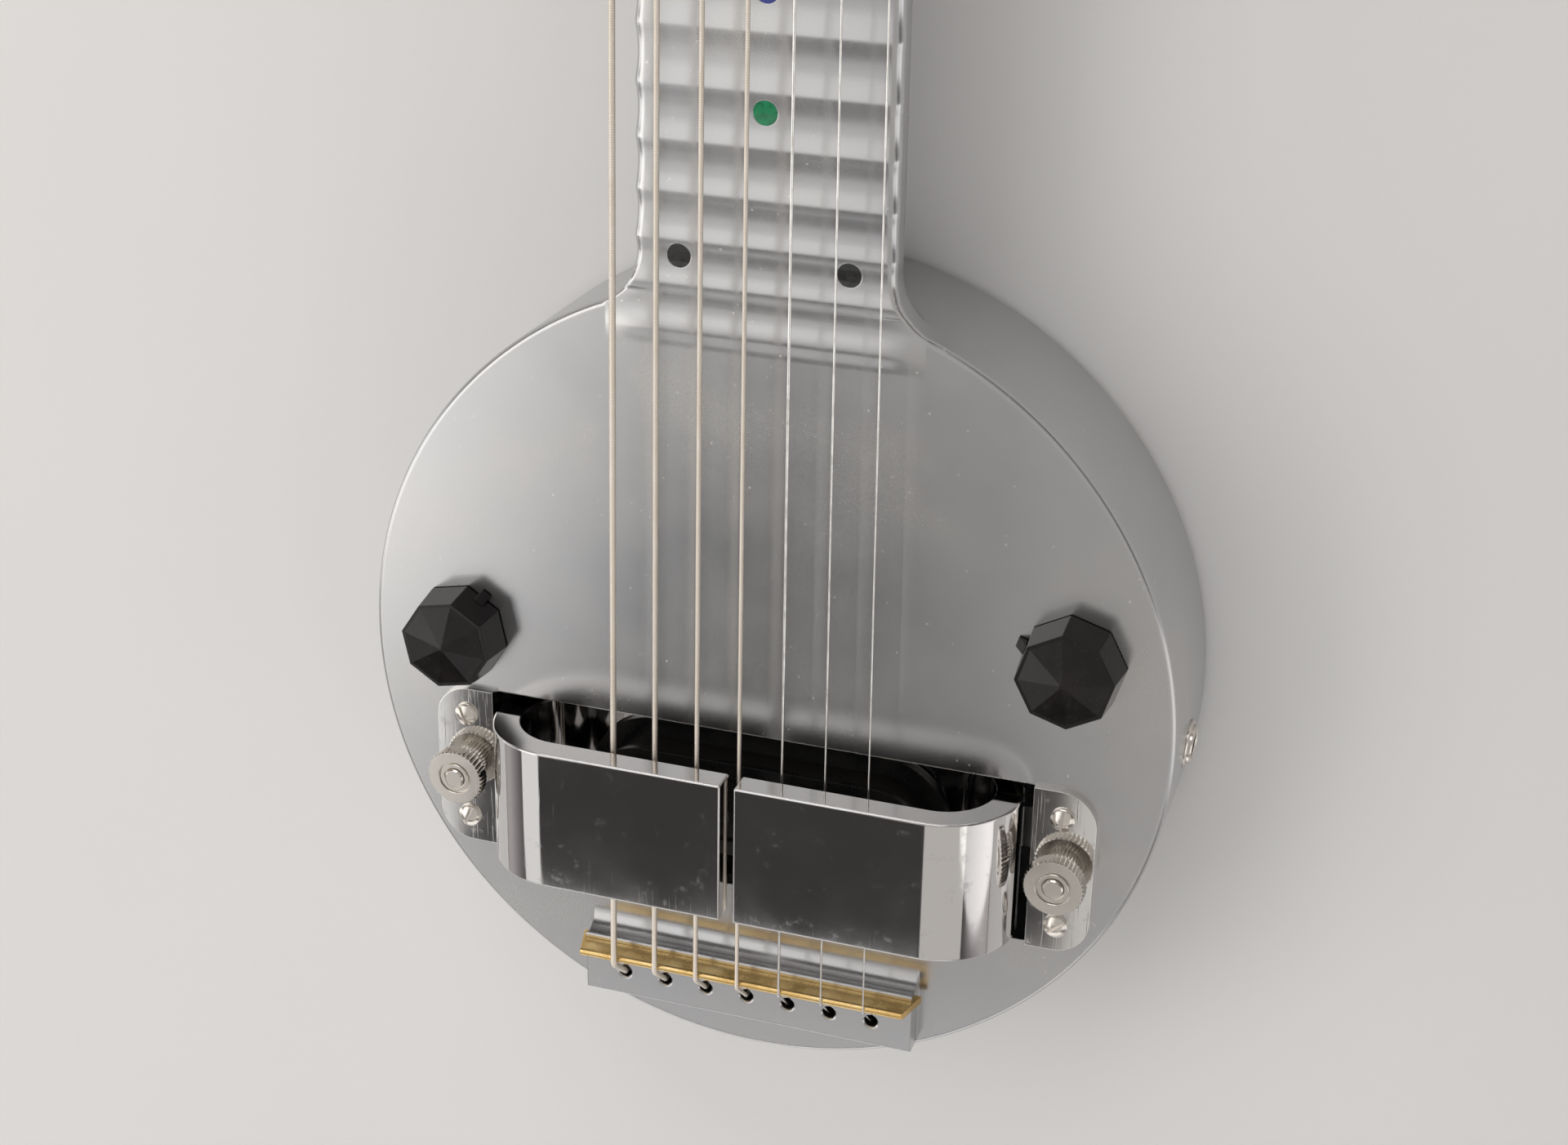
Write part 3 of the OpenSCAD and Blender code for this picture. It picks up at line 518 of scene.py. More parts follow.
def face_holes():
    """The pickup's slot and the holes for studs, bracket screws and controls."""
    low, high = INNER_Z - 1, FACE_Z + 3
    slot = [(x, y + PICKUP_Y) for x, y in rounded_rect(SLOT_X, SLOT_Y, SLOT_CORNER)]
    holes = [prism(slot, low, high)]
    holes += [rod((s * STUD_X, PICKUP_Y), 3.5, low, high) for s in (-1, 1)]
    holes += [rod((s * SCREW_X, PICKUP_Y + t * SCREW_DY), 1.45, low, high) for s, t in sides()]
    holes += [rod((x, y), POT_BUSH_R + 0.05, low, high) for _, x, y, _ in KNOBS]
    return holes


def string_holes():
    """Holes through the tail for the strings, with pockets in the back for their ball ends."""
    pocket = [(2.8, -1), (2.8, BALL_POCKET_H), (1.5, BALL_POCKET_H), (1.5, FACE_Z + TAIL_SHELF - 0.35),
              (1.95, FACE_Z + TAIL_SHELF + 0.1), (1.95, FACE_Z + 10)]
    return [placed(lathe(pocket, 32), (string_x(i, HOLE_Y), HOLE_Y, 0)) for i in ALL_STRINGS]


def head_holes():
    posts = [rod(post_place(i), POST_R + 0.6, HEAD_BOTTOM - 1, HEAD_TOP + 2) for i in ALL_STRINGS]
    return posts + [rod(at, 1.05, HEAD_BOTTOM - 1, HEAD_BOTTOM + 8, 16) for at in tuner_screw_places()]


def dot_places():
    """Middles of the marker dots: one in a fret's space, or two at the octaves."""
    for n in DOT_FRETS:
        y = fret_y(n - 1) + DOT_ALONG * (fret_y(n) - fret_y(n - 1))
        for x in (-DOT_PAIR_X, DOT_PAIR_X) if n % 12 == 0 else (0,):
            yield x, y


def blade_slot(y, half, foot):
    """A slot across the casting that a blade stands in, open at the top."""
    near, far, top = y - BLADE_T / 2, y + BLADE_T / 2, foot + 20
    return across([(near, foot), (far, foot), (far, top), (near, top)], -half, half)


def casting():
    """Body, neck, head and tail block as one mesh, with every hole and pocket."""
    obj = solid("casting", body_disc())
    for part in (neck(), head()):
        combine(obj, part, "UNION")
    combine(obj, prism(segment(CAVITY_R, CAVITY_END), COVER_T, INNER_Z), "DIFFERENCE")
    combine(obj, merged([rod(at, 5, COVER_T, COVER_T + 12) for at in COVER_SCREWS]), "UNION")
    combine(obj, tail_block(), "UNION")
    combine(obj, prism(segment(COVER_R + 0.15, COVER_END - 0.15), -1, COVER_T), "DIFFERENCE")
    bore, seat = JACK_BUSH_R + 0.05, JACK_NUT_R + 0.4
    jack_hole = lathe([(bore, -10), (bore, 0), (seat, 0), (seat, 9)])
    screws = [rod(at, 1.3, 0, 12, 16) for at in COVER_SCREWS]
    dots = [rod(at, DOT_R, FACE_Z - 0.8, FACE_Z + 4) for at in dot_places()]
    slots = [blade_slot(BRIDGE_Y, 46, FACE_Z + 2.6), blade_slot(NUT_Y, 36, FACE_Z + 1)]
    cuts = face_holes() + string_holes() + head_holes() + slots + screws + dots
    combine(obj, merged(cuts + [radial(jack_hole, JACK_SEAT)]), "DIFFERENCE")
    smooth(obj, 38)
    return obj


# ---- pickup ----


def loop_half(side):
    """Outline in (x, z) of one magnet: two straight legs and a half-round end."""
    cx = LOOP_L / 2 - LOOP_R
    outer = arc(cx, 0, LOOP_R, -90, 90, 40)
    inner = arc(cx, 0, LOOP_R - MAGNET_T, 90, -90, 40)
    tip = MAGNET_GAP / 2
    outline = [(tip, -LOOP_R)] + outer + [(tip, LOOP_R), (tip, LOOP_R - MAGNET_T)] + inner
    outline += [(tip, MAGNET_T - LOOP_R)]
    return [(side * x, z) for x, z in outline[::side]]


def magnet(name, side):
    ends = (PICKUP_Y + MAGNET_W / 2, PICKUP_Y - MAGNET_W / 2)
    obj = solid(name, stack([[(x, y, LOOP_Z + z) for x, z in loop_half(side)] for y in ends]))
    soften(obj, 0.45)
    smooth(obj, 40)
    return obj


def bobbin():
    """Black former with a round-ended cap, a recess in the cap and holes for the pole pieces."""
    def layer(length, w, z0, z1):
        return prism([(x, y + PICKUP_Y) for x, y in stadium(length, w)], z0, z1)

    cap = FACE_Z + 0.6 - 1.6
    obj = solid("bobbin", layer(84, 30, LEG_TOP, LEG_TOP + 1.4))
    combine(obj, layer(66, 9, LEG_TOP + 1, cap + 0.5), "UNION")
    combine(obj, layer(77, 23, cap, cap + 1.6), "UNION")
    combine(obj, layer(70, 16, cap + 0.8, cap + 3), "DIFFERENCE")
    places = [(string_x(i, PICKUP_Y), PICKUP_Y) for i in ALL_STRINGS]
    combine(obj, merged([rod(at, 2.38, LEG_TOP - 1, FACE_Z) for at in places]), "DIFFERENCE")
    soften(obj, 0.18, 2)
    smooth(obj, 40)
    return obj


def winding():
    """The coil, with its turns of fine wire as shallow ribs."""
    low, high = LEG_TOP + 1.45, FACE_Z - 1.05
    rings = []
    count = 40
    for k in range(count + 1):
        z = low + (high - low) * k / count
        groove = 0.16 * (k % 2)
        rings.append([(x, y + PICKUP_Y, z) for x, y in stadium(75 - groove, 21.4 - groove)])
    obj = solid("winding", stack(rings))
    smooth(obj, 60)
    return obj


def bracket(name, side):
    """A plate with round outer corners, its inner edge bent down into the slot."""
    r = BRACKET_CORNER
    x, half = BRACKET_OUT - r, BRACKET_HALF
    plan = [(BRACKET_IN, -half)] + arc(x, r - half, r, -90, 0, 12) + arc(x, half - r, r, 0, 90, 12)
    plan += [(BRACKET_IN, half)]
    plan = [(side * x, y + PICKUP_Y) for x, y in plan[::side]]
    obj = solid(name, prism(plan, FACE_Z, FACE_Z + BRACKET_T))
    inner, outer, reach = side * BRACKET_IN, side * (BRACKET_IN + BRACKET_T), SLOT_Y - SLOT_CORNER
    lip = [(inner, PICKUP_Y - reach), (outer, PICKUP_Y - reach),
           (outer, PICKUP_Y + reach), (inner, PICKUP_Y + reach)]
    combine(obj, prism(lip[::side], FACE_Z - BRACKET_LIP / 2, FACE_Z + BRACKET_T / 2), "UNION")
    low, high = FACE_Z - 1, FACE_Z + 5
    holes = [rod((side * STUD_X, PICKUP_Y), 3, low, high)]
    holes += [rod((side * SCREW_X, PICKUP_Y + t * SCREW_DY), 1.6, low, high) for t in (-1, 1)]
    combine(obj, merged(holes), "DIFFERENCE")
    soften(obj, 0.28)
    smooth(obj, 40)
    return obj


def round_screw(head_r, shank_r, length, slot_w, bearing):
    """A slotted screw with a low domed head above its origin, its slot at a bearing in degrees."""
    dome = 1.5 * head_r
    height = 0.65 * head_r
    corner = math.degrees(math.acos(min(1, (head_r - 0.12) / dome)))
    cap = [(x, z + height - dome) for x, z in arc(0, 0, dome, corner, 89, 8)]
    shoulder = [(head_r, 0.0), (head_r, max(0.1, cap[0][1] - 0.12))]
    shape = lathe([(shank_r, -length), (shank_r, 0.0)] + shoulder + cap, 48)
    obj = solid("screw", shape)
    half = slot_w / 2
    slot = prism([(-head_r - 1, -half), (head_r + 1, -half), (head_r + 1, half), (-head_r - 1, half)],
                 height * 0.5, height + 1)
    combine(obj, placed(slot, (0, 0, 0), Matrix.Rotation(math.radians(bearing), 4, "Z")), "DIFFERENCE")
    soften(obj, 0.07, 2, 50)
    verts = [tuple(v.co / MM) for v in obj.data.vertices]
    faces = [list(p.vertices) for p in obj.data.polygons]
    bpy.data.objects.remove(obj)
    return verts, faces


def bracket_screws():
    shapes = []
    for (s, t), bearing in zip(sides(), (72, 118, 38, 84)):
        screw = round_screw(2.65, 1.4, BRACKET_T + FACE_T, 0.7, bearing)
        shapes.append(placed(screw, (s * SCREW_X, PICKUP_Y + t * SCREW_DY, FACE_Z + BRACKET_T)))
    obj = solid("bracket_screws_fine", merged(shapes))
    smooth(obj, 40)
    return obj


def thumb_nut(name, side):
    """A knurled disc on a narrower, also knurled neck, with a ring groove round the stud's hole."""
    def knurl(r, z, a):
        if r > 6.3:
            return r - 0.26 * (1 - math.cos(40 * a))
        return r - 0.13 * (1 - math.cos(33 * a)) if 4.1 < r < 4.3 else r

    bore = STUD_R + 0.05
    neck_part = [(bore, 0.0), (3.9, 0.0), (4.2, 0.3), (4.2, 3.1), (4.0, 3.4)]
    disc = [(6.3, 3.4), (6.7, 3.8), (6.7, 6.6), (6.3, 7.0)]
    groove = [(3.95, 7.0), (3.85, 6.9), (3.8, 6.4), (3.5, 6.4), (3.45, 6.9), (3.35, 7.0)]
    outside = neck_part + disc + groove + [(bore + 0.3, 7.0), (bore, 6.75)]
    obj = solid(name, lathe_ring(outside, 240, knurl))
    obj.data.transform(Matrix.Translation(Vector((side * STUD_X, PICKUP_Y, FACE_Z + BRACKET_T)) * MM))
    smooth(obj, 32)
    return obj


def studs():
    """Threaded studs that carry the pickup, with chamfered round ends."""
    low = LOOP_Z - LOOP_R - 2
    top = FACE_Z + 9
    pitch = 0.8
    shapes = []
    for side in (-1, 1):
        profile = [(STUD_R - 0.25, low)]
        z = low + 0.3
        while z < top - 1.6:
            profile += [(STUD_R - 0.25, z), (STUD_R, z + pitch / 2)]
            z += pitch
        profile += [(STUD_R - 0.2, top - 0.9), (STUD_R, top - 0.75)]
        profile += [(STUD_R, top - 0.3), (STUD_R - 0.3, top)]
        shapes.append(placed(lathe(profile, 48), (side * STUD_X, PICKUP_Y, 0)))
    obj = solid("studs", merged(shapes))
    smooth(obj, 25)
    return obj


def coil(r, wire, z0, z1, turns):
    """A round wire wound into a coil spring between two heights, with flattened end turns."""
    section = arc(0, 0, wire, 330, 0, 11)
    rings = []
    count = 28 * turns
    for k in range(count + 1):
        a = 2 * math.pi * turns * k / count
        rise = min(1, max(0, 1.25 * k / count - 0.125))
        z = z0 + wire + (z1 - z0 - 2 * wire) * rise
        rings.append([((r + u) * math.cos(a), (r + u) * math.sin(a), z + v) for u, v in section])
    return stack(rings)


def springs():
    """The two height springs, from under the pickup's magnets up to the inside of the face."""
    shape = coil(4.1, 0.55, LOOP_Z - LOOP_R + 0.05, INNER_Z - 0.05, 6)
    pair = [placed(shape, (s * STUD_X, PICKUP_Y, 0)) for s in (-1, 1)]
    obj = solid("height_springs_fine", merged(pair))
    smooth(obj, 50)
    return obj


# ---- controls and sockets ----


def knob(name, x, y, bearing):
    """An eight-sided knob with a faceted crown and a small pointer at its foot."""
    corner = 1 / math.cos(math.radians(22.5))
    top = KNOB_W / 2 * corner
    base = top * 1.085
    turn = Matrix.Rotation(math.radians(22.5), 4, "Z")
    crown = [(base, 0.0), (top, KNOB_H), (top * 0.93, KNOB_H), (0.5, KNOB_H + KNOB_CROWN)]
    obj = solid(name, placed(lathe(crown, 8), (0, 0, 0), turn))
    foot = base * math.cos(math.radians(22.5)) - 1
    wedge = [[(foot, -1.2, 0.0), (foot + 3, -1.2, 0.0), (foot, -1.2, 3.2)],
             [(foot, 1.2, 0.0), (foot + 3, 1.2, 0.0), (foot, 1.2, 3.2)]]
    combine(obj, stack(wedge), "UNION")
    combine(obj, lathe([(8, -1), (8, 3), (3.02, 3), (3.02, 6.2)], 48), "DIFFERENCE")
    soften(obj, 0.14, 3, 6)
    place = Matrix.Translation(Vector((x, y, FACE_Z + KNOB_LIFT)) * MM)
    obj.data.transform(place @ Matrix.Rotation(math.radians(bearing), 4, "Z"))
    smooth(obj, 5)
    return obj


def jack():
    """The socket's bushing, open for the plug, and its barrel inside the body."""
    shoulder = CAVITY_R - 0.35
    end = JACK_SEAT + 2
    outside = [(6.5, shoulder - 24), (6.5, shoulder), (JACK_BUSH_R, shoulder),
               (JACK_BUSH_R, end - 0.35), (JACK_BUSH_R - 0.3, end)]
    inside = [(PLUG_R + 0.35, end), (PLUG_R, end - 0.3), (PLUG_R, shoulder - 22)]
    obj = solid("jack", radial(lathe(outside + inside, 64), 0))
    smooth(obj, 40)
    return obj


def jack_nut():
    bore = JACK_BUSH_R + 0.05
    outside = [(bore, 0.0), (JACK_NUT_R, 0.0), (JACK_NUT_R, 0.8), (JACK_NUT_R - 0.3, 1.1), (bore, 1.1)]
    obj = solid("jack_nut_fine", radial(lathe_ring(outside, 64), JACK_SEAT))
    smooth(obj, 40)
    return obj


# ---- strings ----


def on_blade(x, y, top, d, a):
    """Middle of a string on a blade's round edge, a degrees past its top towards the head."""
    r = (BLADE_T + d) / 2 + STRING_REST
    return x, y + r * math.sin(math.radians(a)), top - BLADE_T / 2 + r * math.cos(math.radians(a))


def fall(dy, dz, r):
    """Angle at which a line from the top of a blade's round edge falls to a point."""
    return math.degrees(math.atan2(dz, dy) + math.asin(r / math.hypot(dy, dz)))


def string_route(i):
    """From the ball end up through the tail, over both blades and down to the post."""
    d = STRING_D[i - 1]
    r = (BLADE_T + d) / 2
    mouth = FACE_Z + TAIL_SHELF - 0.3
    x, y = post_place(i)
    reach = math.sqrt((POST_R + d) ** 2 - POST_R**2) + 0.25
    end = (x - math.copysign(POST_R + d / 2, x), y - reach, WRAP_Z)
    a = fall(BRIDGE_Y - HOLE_Y, BRIDGE_TOP - BLADE_T / 2 - mouth, r)
    b = fall(end[1] - NUT_Y, NUT_TOP - BLADE_T / 2 - WRAP_Z, r)
    hole = string_x(i, HOLE_Y)
    route = [(hole, HOLE_Y, BALL_POCKET_H), (hole, HOLE_Y, mouth - 0.6), (hole, HOLE_Y + 0.1, mouth)]
    bridge, nut = string_x(i, BRIDGE_Y), string_x(i, NUT_Y)
    route += [on_blade(bridge, BRIDGE_Y, BRIDGE_TOP, d, -a * k / 6) for k in range(6, -1, -1)]
    route += [on_blade(nut, NUT_Y, NUT_TOP, d, b * k / 6) for k in range(7)]
    return route + [end]


def string(i):
    obj = solid(f"string_{i}_fine", sweep(string_route(i), STRING_D[i - 1] / 2, 16))
    smooth(obj, 60)
    return obj


# ---- materials ----


class Surface:
    """A material built on one Principled shader, with short calls for its nodes."""

    def __init__(self, name, **sockets):
        self.material = bpy.data.materials.new(name)
        self.material.use_nodes = True
        self.tree = self.material.node_tree
        self.shader = self.tree.nodes["Principled BSDF"]
        for socket, value in sockets.items():
            self.shader.inputs[socket.replace("_", " ")].default_value = value
        self.place = self.node("TexCoord").outputs["Object"]
        self.normal = None

    def node(self, kind, **values):
        made = self.tree.nodes.new("ShaderNode" + kind)
        for key, value in values.items():
            setattr(made, key, value)
        return made

    def link(self, source, target):
        self.tree.links.new(source, target)

    def stretched(self, scale):
        """Object coordinates scaled by a different amount along each axis."""
        mapping = self.node("Mapping")
        self.link(self.place, mapping.inputs["Vector"])
        mapping.inputs["Scale"].default_value = scale
        return mapping.outputs["Vector"]

    def noise(self, scale, detail=4.0, rough=0.55, vector=None):
        made = self.node("TexNoise")
        self.link(vector or self.place, made.inputs["Vector"])
        made.inputs["Scale"].default_value = scale
        made.inputs["Detail"].default_value = detail
        made.inputs["Roughness"].default_value = rough
        return made.outputs["Fac"]

    def cells(self, scale):
        """Distance to the nearest of many scattered points."""
        made = self.node("TexVoronoi")
        self.link(self.place, made.inputs["Vector"])
        made.inputs["Scale"].default_value = scale
        return made.outputs["Distance"]

    def ramp(self, source, *stops):
        made = self.node("ValToRGB")
        self.link(source, made.inputs["Fac"])
        elements = made.color_ramp.elements
        while len(elements) < len(stops):
            elements.new(0.5)
        for element, (position, colour) in zip(elements, stops):
            element.position = position
            element.color = (*colour, 1) if isinstance(colour, tuple) else (colour, colour, colour, 1)
        return made.outputs["Color"]

    def remap(self, source, low, high, out_low, out_high):
        made = self.node("MapRange")
        self.link(source, made.inputs["Value"])
        ends = {"From Min": low, "From Max": high, "To Min": out_low, "To Max": out_high}
        for socket, value in ends.items():
            made.inputs[socket].default_value = value
        return made.outputs["Result"]

    def mix(self, share, a, b):
        """Colour a where share is 0 and b where it is 1. Each is a colour or a socket."""
        made = self.node("Mix", data_type="RGBA")
        self.link(share, made.inputs["Factor"])
        for socket, value in ((made.inputs[6], a), (made.inputs[7], b)):
            if isinstance(value, tuple):
                socket.default_value = (*value, 1)
            else:
                self.link(value, socket)
        return made.outputs[2]

    def math(self, operation, a, b):
        made = self.node("Math", operation=operation)
        for socket, value in zip(made.inputs, (a, b)):
            if isinstance(value, (int, float)):
                socket.default_value = value
            else:
                self.link(value, socket)
        return made.outputs["Value"]

    def round_edges(self, radius):
        """Lets light catch edges as if they had this radius, in millimetres."""
        made = self.node("Bevel", samples=6)
        made.inputs["Radius"].default_value = radius * MM
        self.normal = made.outputs["Normal"]

    def bump(self, height, distance, strength=1.0):
        """Adds relief of a depth given in millimetres."""
        made = self.node("Bump")
        self.link(height, made.inputs["Height"])
        made.inputs["Distance"].default_value = distance * MM
        made.inputs["Strength"].default_value = strength
        if self.normal:
            self.link(self.normal, made.inputs["Normal"])
        self.normal = made.outputs["Normal"]

    def done(self, colour=None, rough=None):
        for source, socket in ((colour, "Base Color"), (rough, "Roughness"), (self.normal, "Normal")):
            if source:
                self.link(source, self.shader.inputs[socket])
        return self.material


def cast_aluminium():
    """Satin, hand-polished cast metal with fine pits, dull patches and faint scratches."""
    s = Surface("cast_aluminium", Metallic=1.0)
    clouds = s.noise(26, 5)
    grain = s.noise(3600, 3, 0.7)
    pits = s.ramp(s.cells(420), (0.07, 1.0), (0.16, 0.0))
    sparse = s.ramp(s.noise(170, 2), (0.56, 0.0), (0.66, 1.0))
    specks = s.math("MULTIPLY", pits, sparse)
    metal = s.ramp(clouds, (0.3, (0.50, 0.507, 0.52)), (0.7, (0.57, 0.565, 0.56)))
    colour = s.mix(s.math("MULTIPLY", specks, 0.7), metal, (0.80, 0.80, 0.79))
    rough = s.remap(clouds, 0.3, 0.7, 0.21, 0.26)
    rough = s.math("ADD", rough, s.remap(grain, 0.3, 0.7, -0.02, 0.03))
    rough = s.math("ADD", rough, s.math("MULTIPLY", specks, 0.12))
    s.round_edges(0.45)
    s.bump(s.noise(40, 2), 0.012)
    s.bump(grain, 0.0006)
    s.bump(specks, 0.0012, -1.0)
    return s.done(colour, rough)


def polished_metal(name, colour, rough, edge=0.25):
    """Bright metal with smudges, hairline scratches and a soft edge."""
    s = Surface(name, Metallic=1.0)
    smudge = s.noise(55, 4)
    grime = s.ramp(s.noise(260, 5, 0.7), (0.58, 0.0), (0.8, 1.0))
    hair = s.ramp(s.noise(1, 2, 0.5, s.stretched((2400, 50, 1400))), (0.62, 0.0), (0.70, 1.0))
    dark = tuple(c * 0.72 for c in colour)
    tone = s.mix(s.math("MULTIPLY", grime, 0.5), colour, dark)
    shine = s.remap(smudge, 0.35, 0.7, rough, rough * 1.7)
    shine = s.math("ADD", shine, s.math("MULTIPLY", grime, 0.12))
    s.round_edges(edge)
    s.bump(s.noise(24, 2), 0.02)
    s.bump(hair, 0.0015)
    return s.done(tone, shine)


def brass():
    """Lacquer-free brass with scattered brown stains and softly rounded edges."""
    s = Surface("brass", Metallic=1.0)
    stain = s.noise(180, 6, 0.65)
    tone = s.ramp(stain, (0.3, (0.62, 0.40, 0.15)), (0.48, (0.80, 0.55, 0.22)),
                  (0.7, (0.88, 0.66, 0.32)))
    drag = s.noise(1, 3, 0.6, s.stretched((40, 2600, 900)))
    s.round_edges(0.3)
    s.bump(drag, 0.003)
    return s.done(tone, s.remap(stain, 0.3, 0.7, 0.34, 0.17))


def wound_wire():
    """String wound with fine round wire: ribs at a small pitch, with painted shade darkening the
    grooves between them.
    """
    s = Surface("wound_string", Metallic=1.0)
    split = s.node("SeparateXYZ")
    s.link(s.place, split.inputs["Vector"])
    turns = s.math("MULTIPLY", split.outputs["Y"], 2 * math.pi / (0.32 * MM))
    wave = s.math("ADD", s.math("MULTIPLY", s.math("SINE", turns, 0), 0.5), 0.5)
    tarnish = s.noise(120, 4)
    metal = s.ramp(tarnish, (0.3, (0.90, 0.83, 0.73)), (0.7, (0.99, 0.94, 0.87)))
    # Painted shade: where the wave is low, in the grooves between the turns, the colour is mixed
    # towards a darker brown.
    tone = s.mix(s.ramp(wave, (0.0, 1.0), (0.45, 0.0)), metal, (0.66, 0.57, 0.45))
    s.bump(wave, 0.04)
    return s.done(tone, s.remap(tarnish, 0.3, 0.7, 0.38, 0.5))


def plain_wire():
    s = Surface("plain_string", Metallic=1.0)
    spots = s.noise(300, 4)
    tone = s.ramp(spots, (0.3, (0.62, 0.60, 0.57)), (0.65, (0.86, 0.85, 0.83)))
    s.bump(s.noise(900, 2), 0.004)
    return s.done(tone, s.remap(spots, 0.3, 0.7, 0.28, 0.16))


def moulded(name, colour, worn, rough):
    """Dark moulded plastic, dull with handling, with scuffs and paler rubbed patches."""
    s = Surface(name, Specular_IOR_Level=0.3)
    clouds = s.noise(130, 5, 0.6)
    scuffs = s.ramp(s.noise(1, 4, 0.7, s.stretched((600, 240, 500))), (0.55, 0.0), (0.75, 1.0))
    dust = s.ramp(s.cells(900), (0.04, 1.0), (0.1, 0.0))
    tone = s.mix(s.ramp(clouds, (0.4, 0.0), (0.75, 1.0)), colour, worn)
    tone = s.mix(s.math("MULTIPLY", dust, 0.25), tone, (0.3, 0.28, 0.25))
    s.round_edges(0.2)
    s.bump(clouds, 0.008)
    s.bump(scuffs, 0.002)
    return s.done(tone, s.math("ADD", s.remap(clouds, 0.3, 0.7, rough, rough + 0.08),
                               s.math("MULTIPLY", scuffs, 0.12)))


def enamel(name, colour):
    """Glossy paint filled into a pocket of the casting, slightly uneven."""
    s = Surface(name, Coat_Weight=0.6, Coat_Roughness=0.08)
    cloud = s.noise(700, 4)
    dark = tuple(c * 0.55 for c in colour)
    tone = s.ramp(cloud, (0.3, dark), (0.6, colour))
    s.bump(s.noise(420, 2), 0.12)
    return s.done(tone, s.remap(cloud, 0.3, 0.7, 0.22, 0.4))


def coil_wire():
    """Enamelled copper wire under dark lacquer, its turns as fine lines."""
    s = Surface("coil_wire", Coat_Weight=0.4)
    lines = s.noise(1, 2, 0.5, s.stretched((20, 20, 9000)))
    tone = s.ramp(lines, (0.35, (0.006, 0.005, 0.005)), (0.65, (0.016, 0.012, 0.010)))
    s.bump(lines, 0.03)
    return s.done(tone, s.remap(lines, 0.3, 0.7, 0.45, 0.3))


def cloth_wire():
    """Hook-up wire with a waxed cotton braid."""
    s = Surface("wire_cloth", Sheen_Weight=0.3)
    weave = s.cells(2600)
    tone = s.ramp(weave, (0.1, (0.16, 0.19, 0.08)), (0.6, (0.42, 0.44, 0.24)))
    s.bump(weave, 0.08)
    return s.done(tone, s.remap(weave, 0.1, 0.6, 0.75, 0.9))


def waxed_paper():
    s = Surface("capacitor_wax", Coat_Weight=0.3)
    stain = s.noise(200, 5)
    tone = s.ramp(stain, (0.3, (0.30, 0.17, 0.06)), (0.7, (0.58, 0.40, 0.17)))
    s.bump(s.noise(500, 3), 0.06)
    return s.done(tone, s.remap(stain, 0.3, 0.7, 0.35, 0.55))


def floor_paper():
    """Pale studio paper with a barely visible tooth."""
    s = Surface("floor_paper")
    tooth = s.noise(900, 3)
    tone = s.ramp(s.noise(3, 3), (0.3, (0.80, 0.80, 0.80)), (0.7, (0.84, 0.84, 0.835)))
    s.bump(tooth, 0.03)
    return s.done(tone, s.remap(tooth, 0.3, 0.7, 0.82, 0.92))


# ---- camera, light and floor ----


def looking(obj, place, target, roll=0.0):
    """Points an object's -Z at a target, its top towards +Y, then rolls it by an angle in degrees."""
    obj.location = place
    away = (Vector(place) - Vector(target)).normalized()
    right = Vector((0, 1, 0)).cross(away).normalized()
    frame = Matrix((right, away.cross(right), away)).transposed()
    obj.rotation_euler = (frame @ Matrix.Rotation(math.radians(roll), 3, "Z")).to_euler()
    bpy.context.scene.collection.objects.link(obj)


def camera():
    data = bpy.data.cameras.new("camera")
    data.lens = 58.47
    data.sensor_width = 36
    data.clip_start = 0.01
    obj = bpy.data.objects.new("camera", data)
    looking(obj, EYE, LOOK_AT, ROLL)
    bpy.context.scene.camera = obj


def soft_box(name, place, target, size, radiance, colour):
    """An evenly bright panel. Its power follows from its area, so neighbours can be matched."""
    data = bpy.data.lights.new(name, "AREA")
    data.shape = "RECTANGLE"
    data.size, data.size_y = size
    data.energy = math.pi * size[0] * size[1] * radiance
    data.color = colour
    looking(bpy.data.objects.new(name, data), place, target)


def ceiling_panel(name, x, y, radiance, colour):
    """A soft box lying overhead, between two places across and two along, in metres."""
    centre = (sum(x) / 2, sum(y) / 2)
    soft_box(name, (*centre, CEILING), (*centre, 0.0), (x[1] - x[0], y[1] - y[0]), radiance, colour)


def studio():
    """A ceiling of soft boxes with dark gaps that the metal mirrors, and lower lights around."""
    ceiling_panel("box_left_far", (-1.5, -0.585), (-0.55, 0.9), 1.90, WARM)
    ceiling_panel("box_left", (-0.585, -0.446), (-0.55, 0.9), 1.05, WHITE)
    ceiling_panel("box_right", (-0.223, 1.2), (-0.55, 0.9), 0.52, WARM)
    ceiling_panel("box_neck", (-0.446, -0.223), (0.0, 0.9), 1.15, WHITE)
    ceiling_panel("box_neck_low", (-0.446, -0.223), (-0.28, 0.0), 0.62, WHITE)
    ceiling_panel("box_foot_left", (-1.5, -0.57), (-1.05, -0.55), 0.95, WHITE)
    ceiling_panel("box_foot", (-0.57, -0.12), (-1.05, -0.71), 0.85, WHITE)
    ceiling_panel("box_foot_right", (-0.12, 1.2), (-1.05, -0.55), 0.62, WARM)
    soft_box("box_head", (-0.3, 2.1, 1.2), (0.0, 0.2, 0.0), (1.6, 0.8), 2.4, WHITE)
    soft_box("box_treble", (1.5, -0.5, 0.6), (0.0, 0.0, 0.0), (1.6, 0.9), 0.9, WHITE)
    soft_box("box_bass", (-2.1, -0.3, 0.75), (0.0, 0.0, 0.0), (1.4, 0.9), 1.3, WHITE)
    soft_box("box_tail", (-0.2, -1.7, 0.55), (0.0, 0.0, 0.0), (2.4, 0.9), 1.0, WHITE)


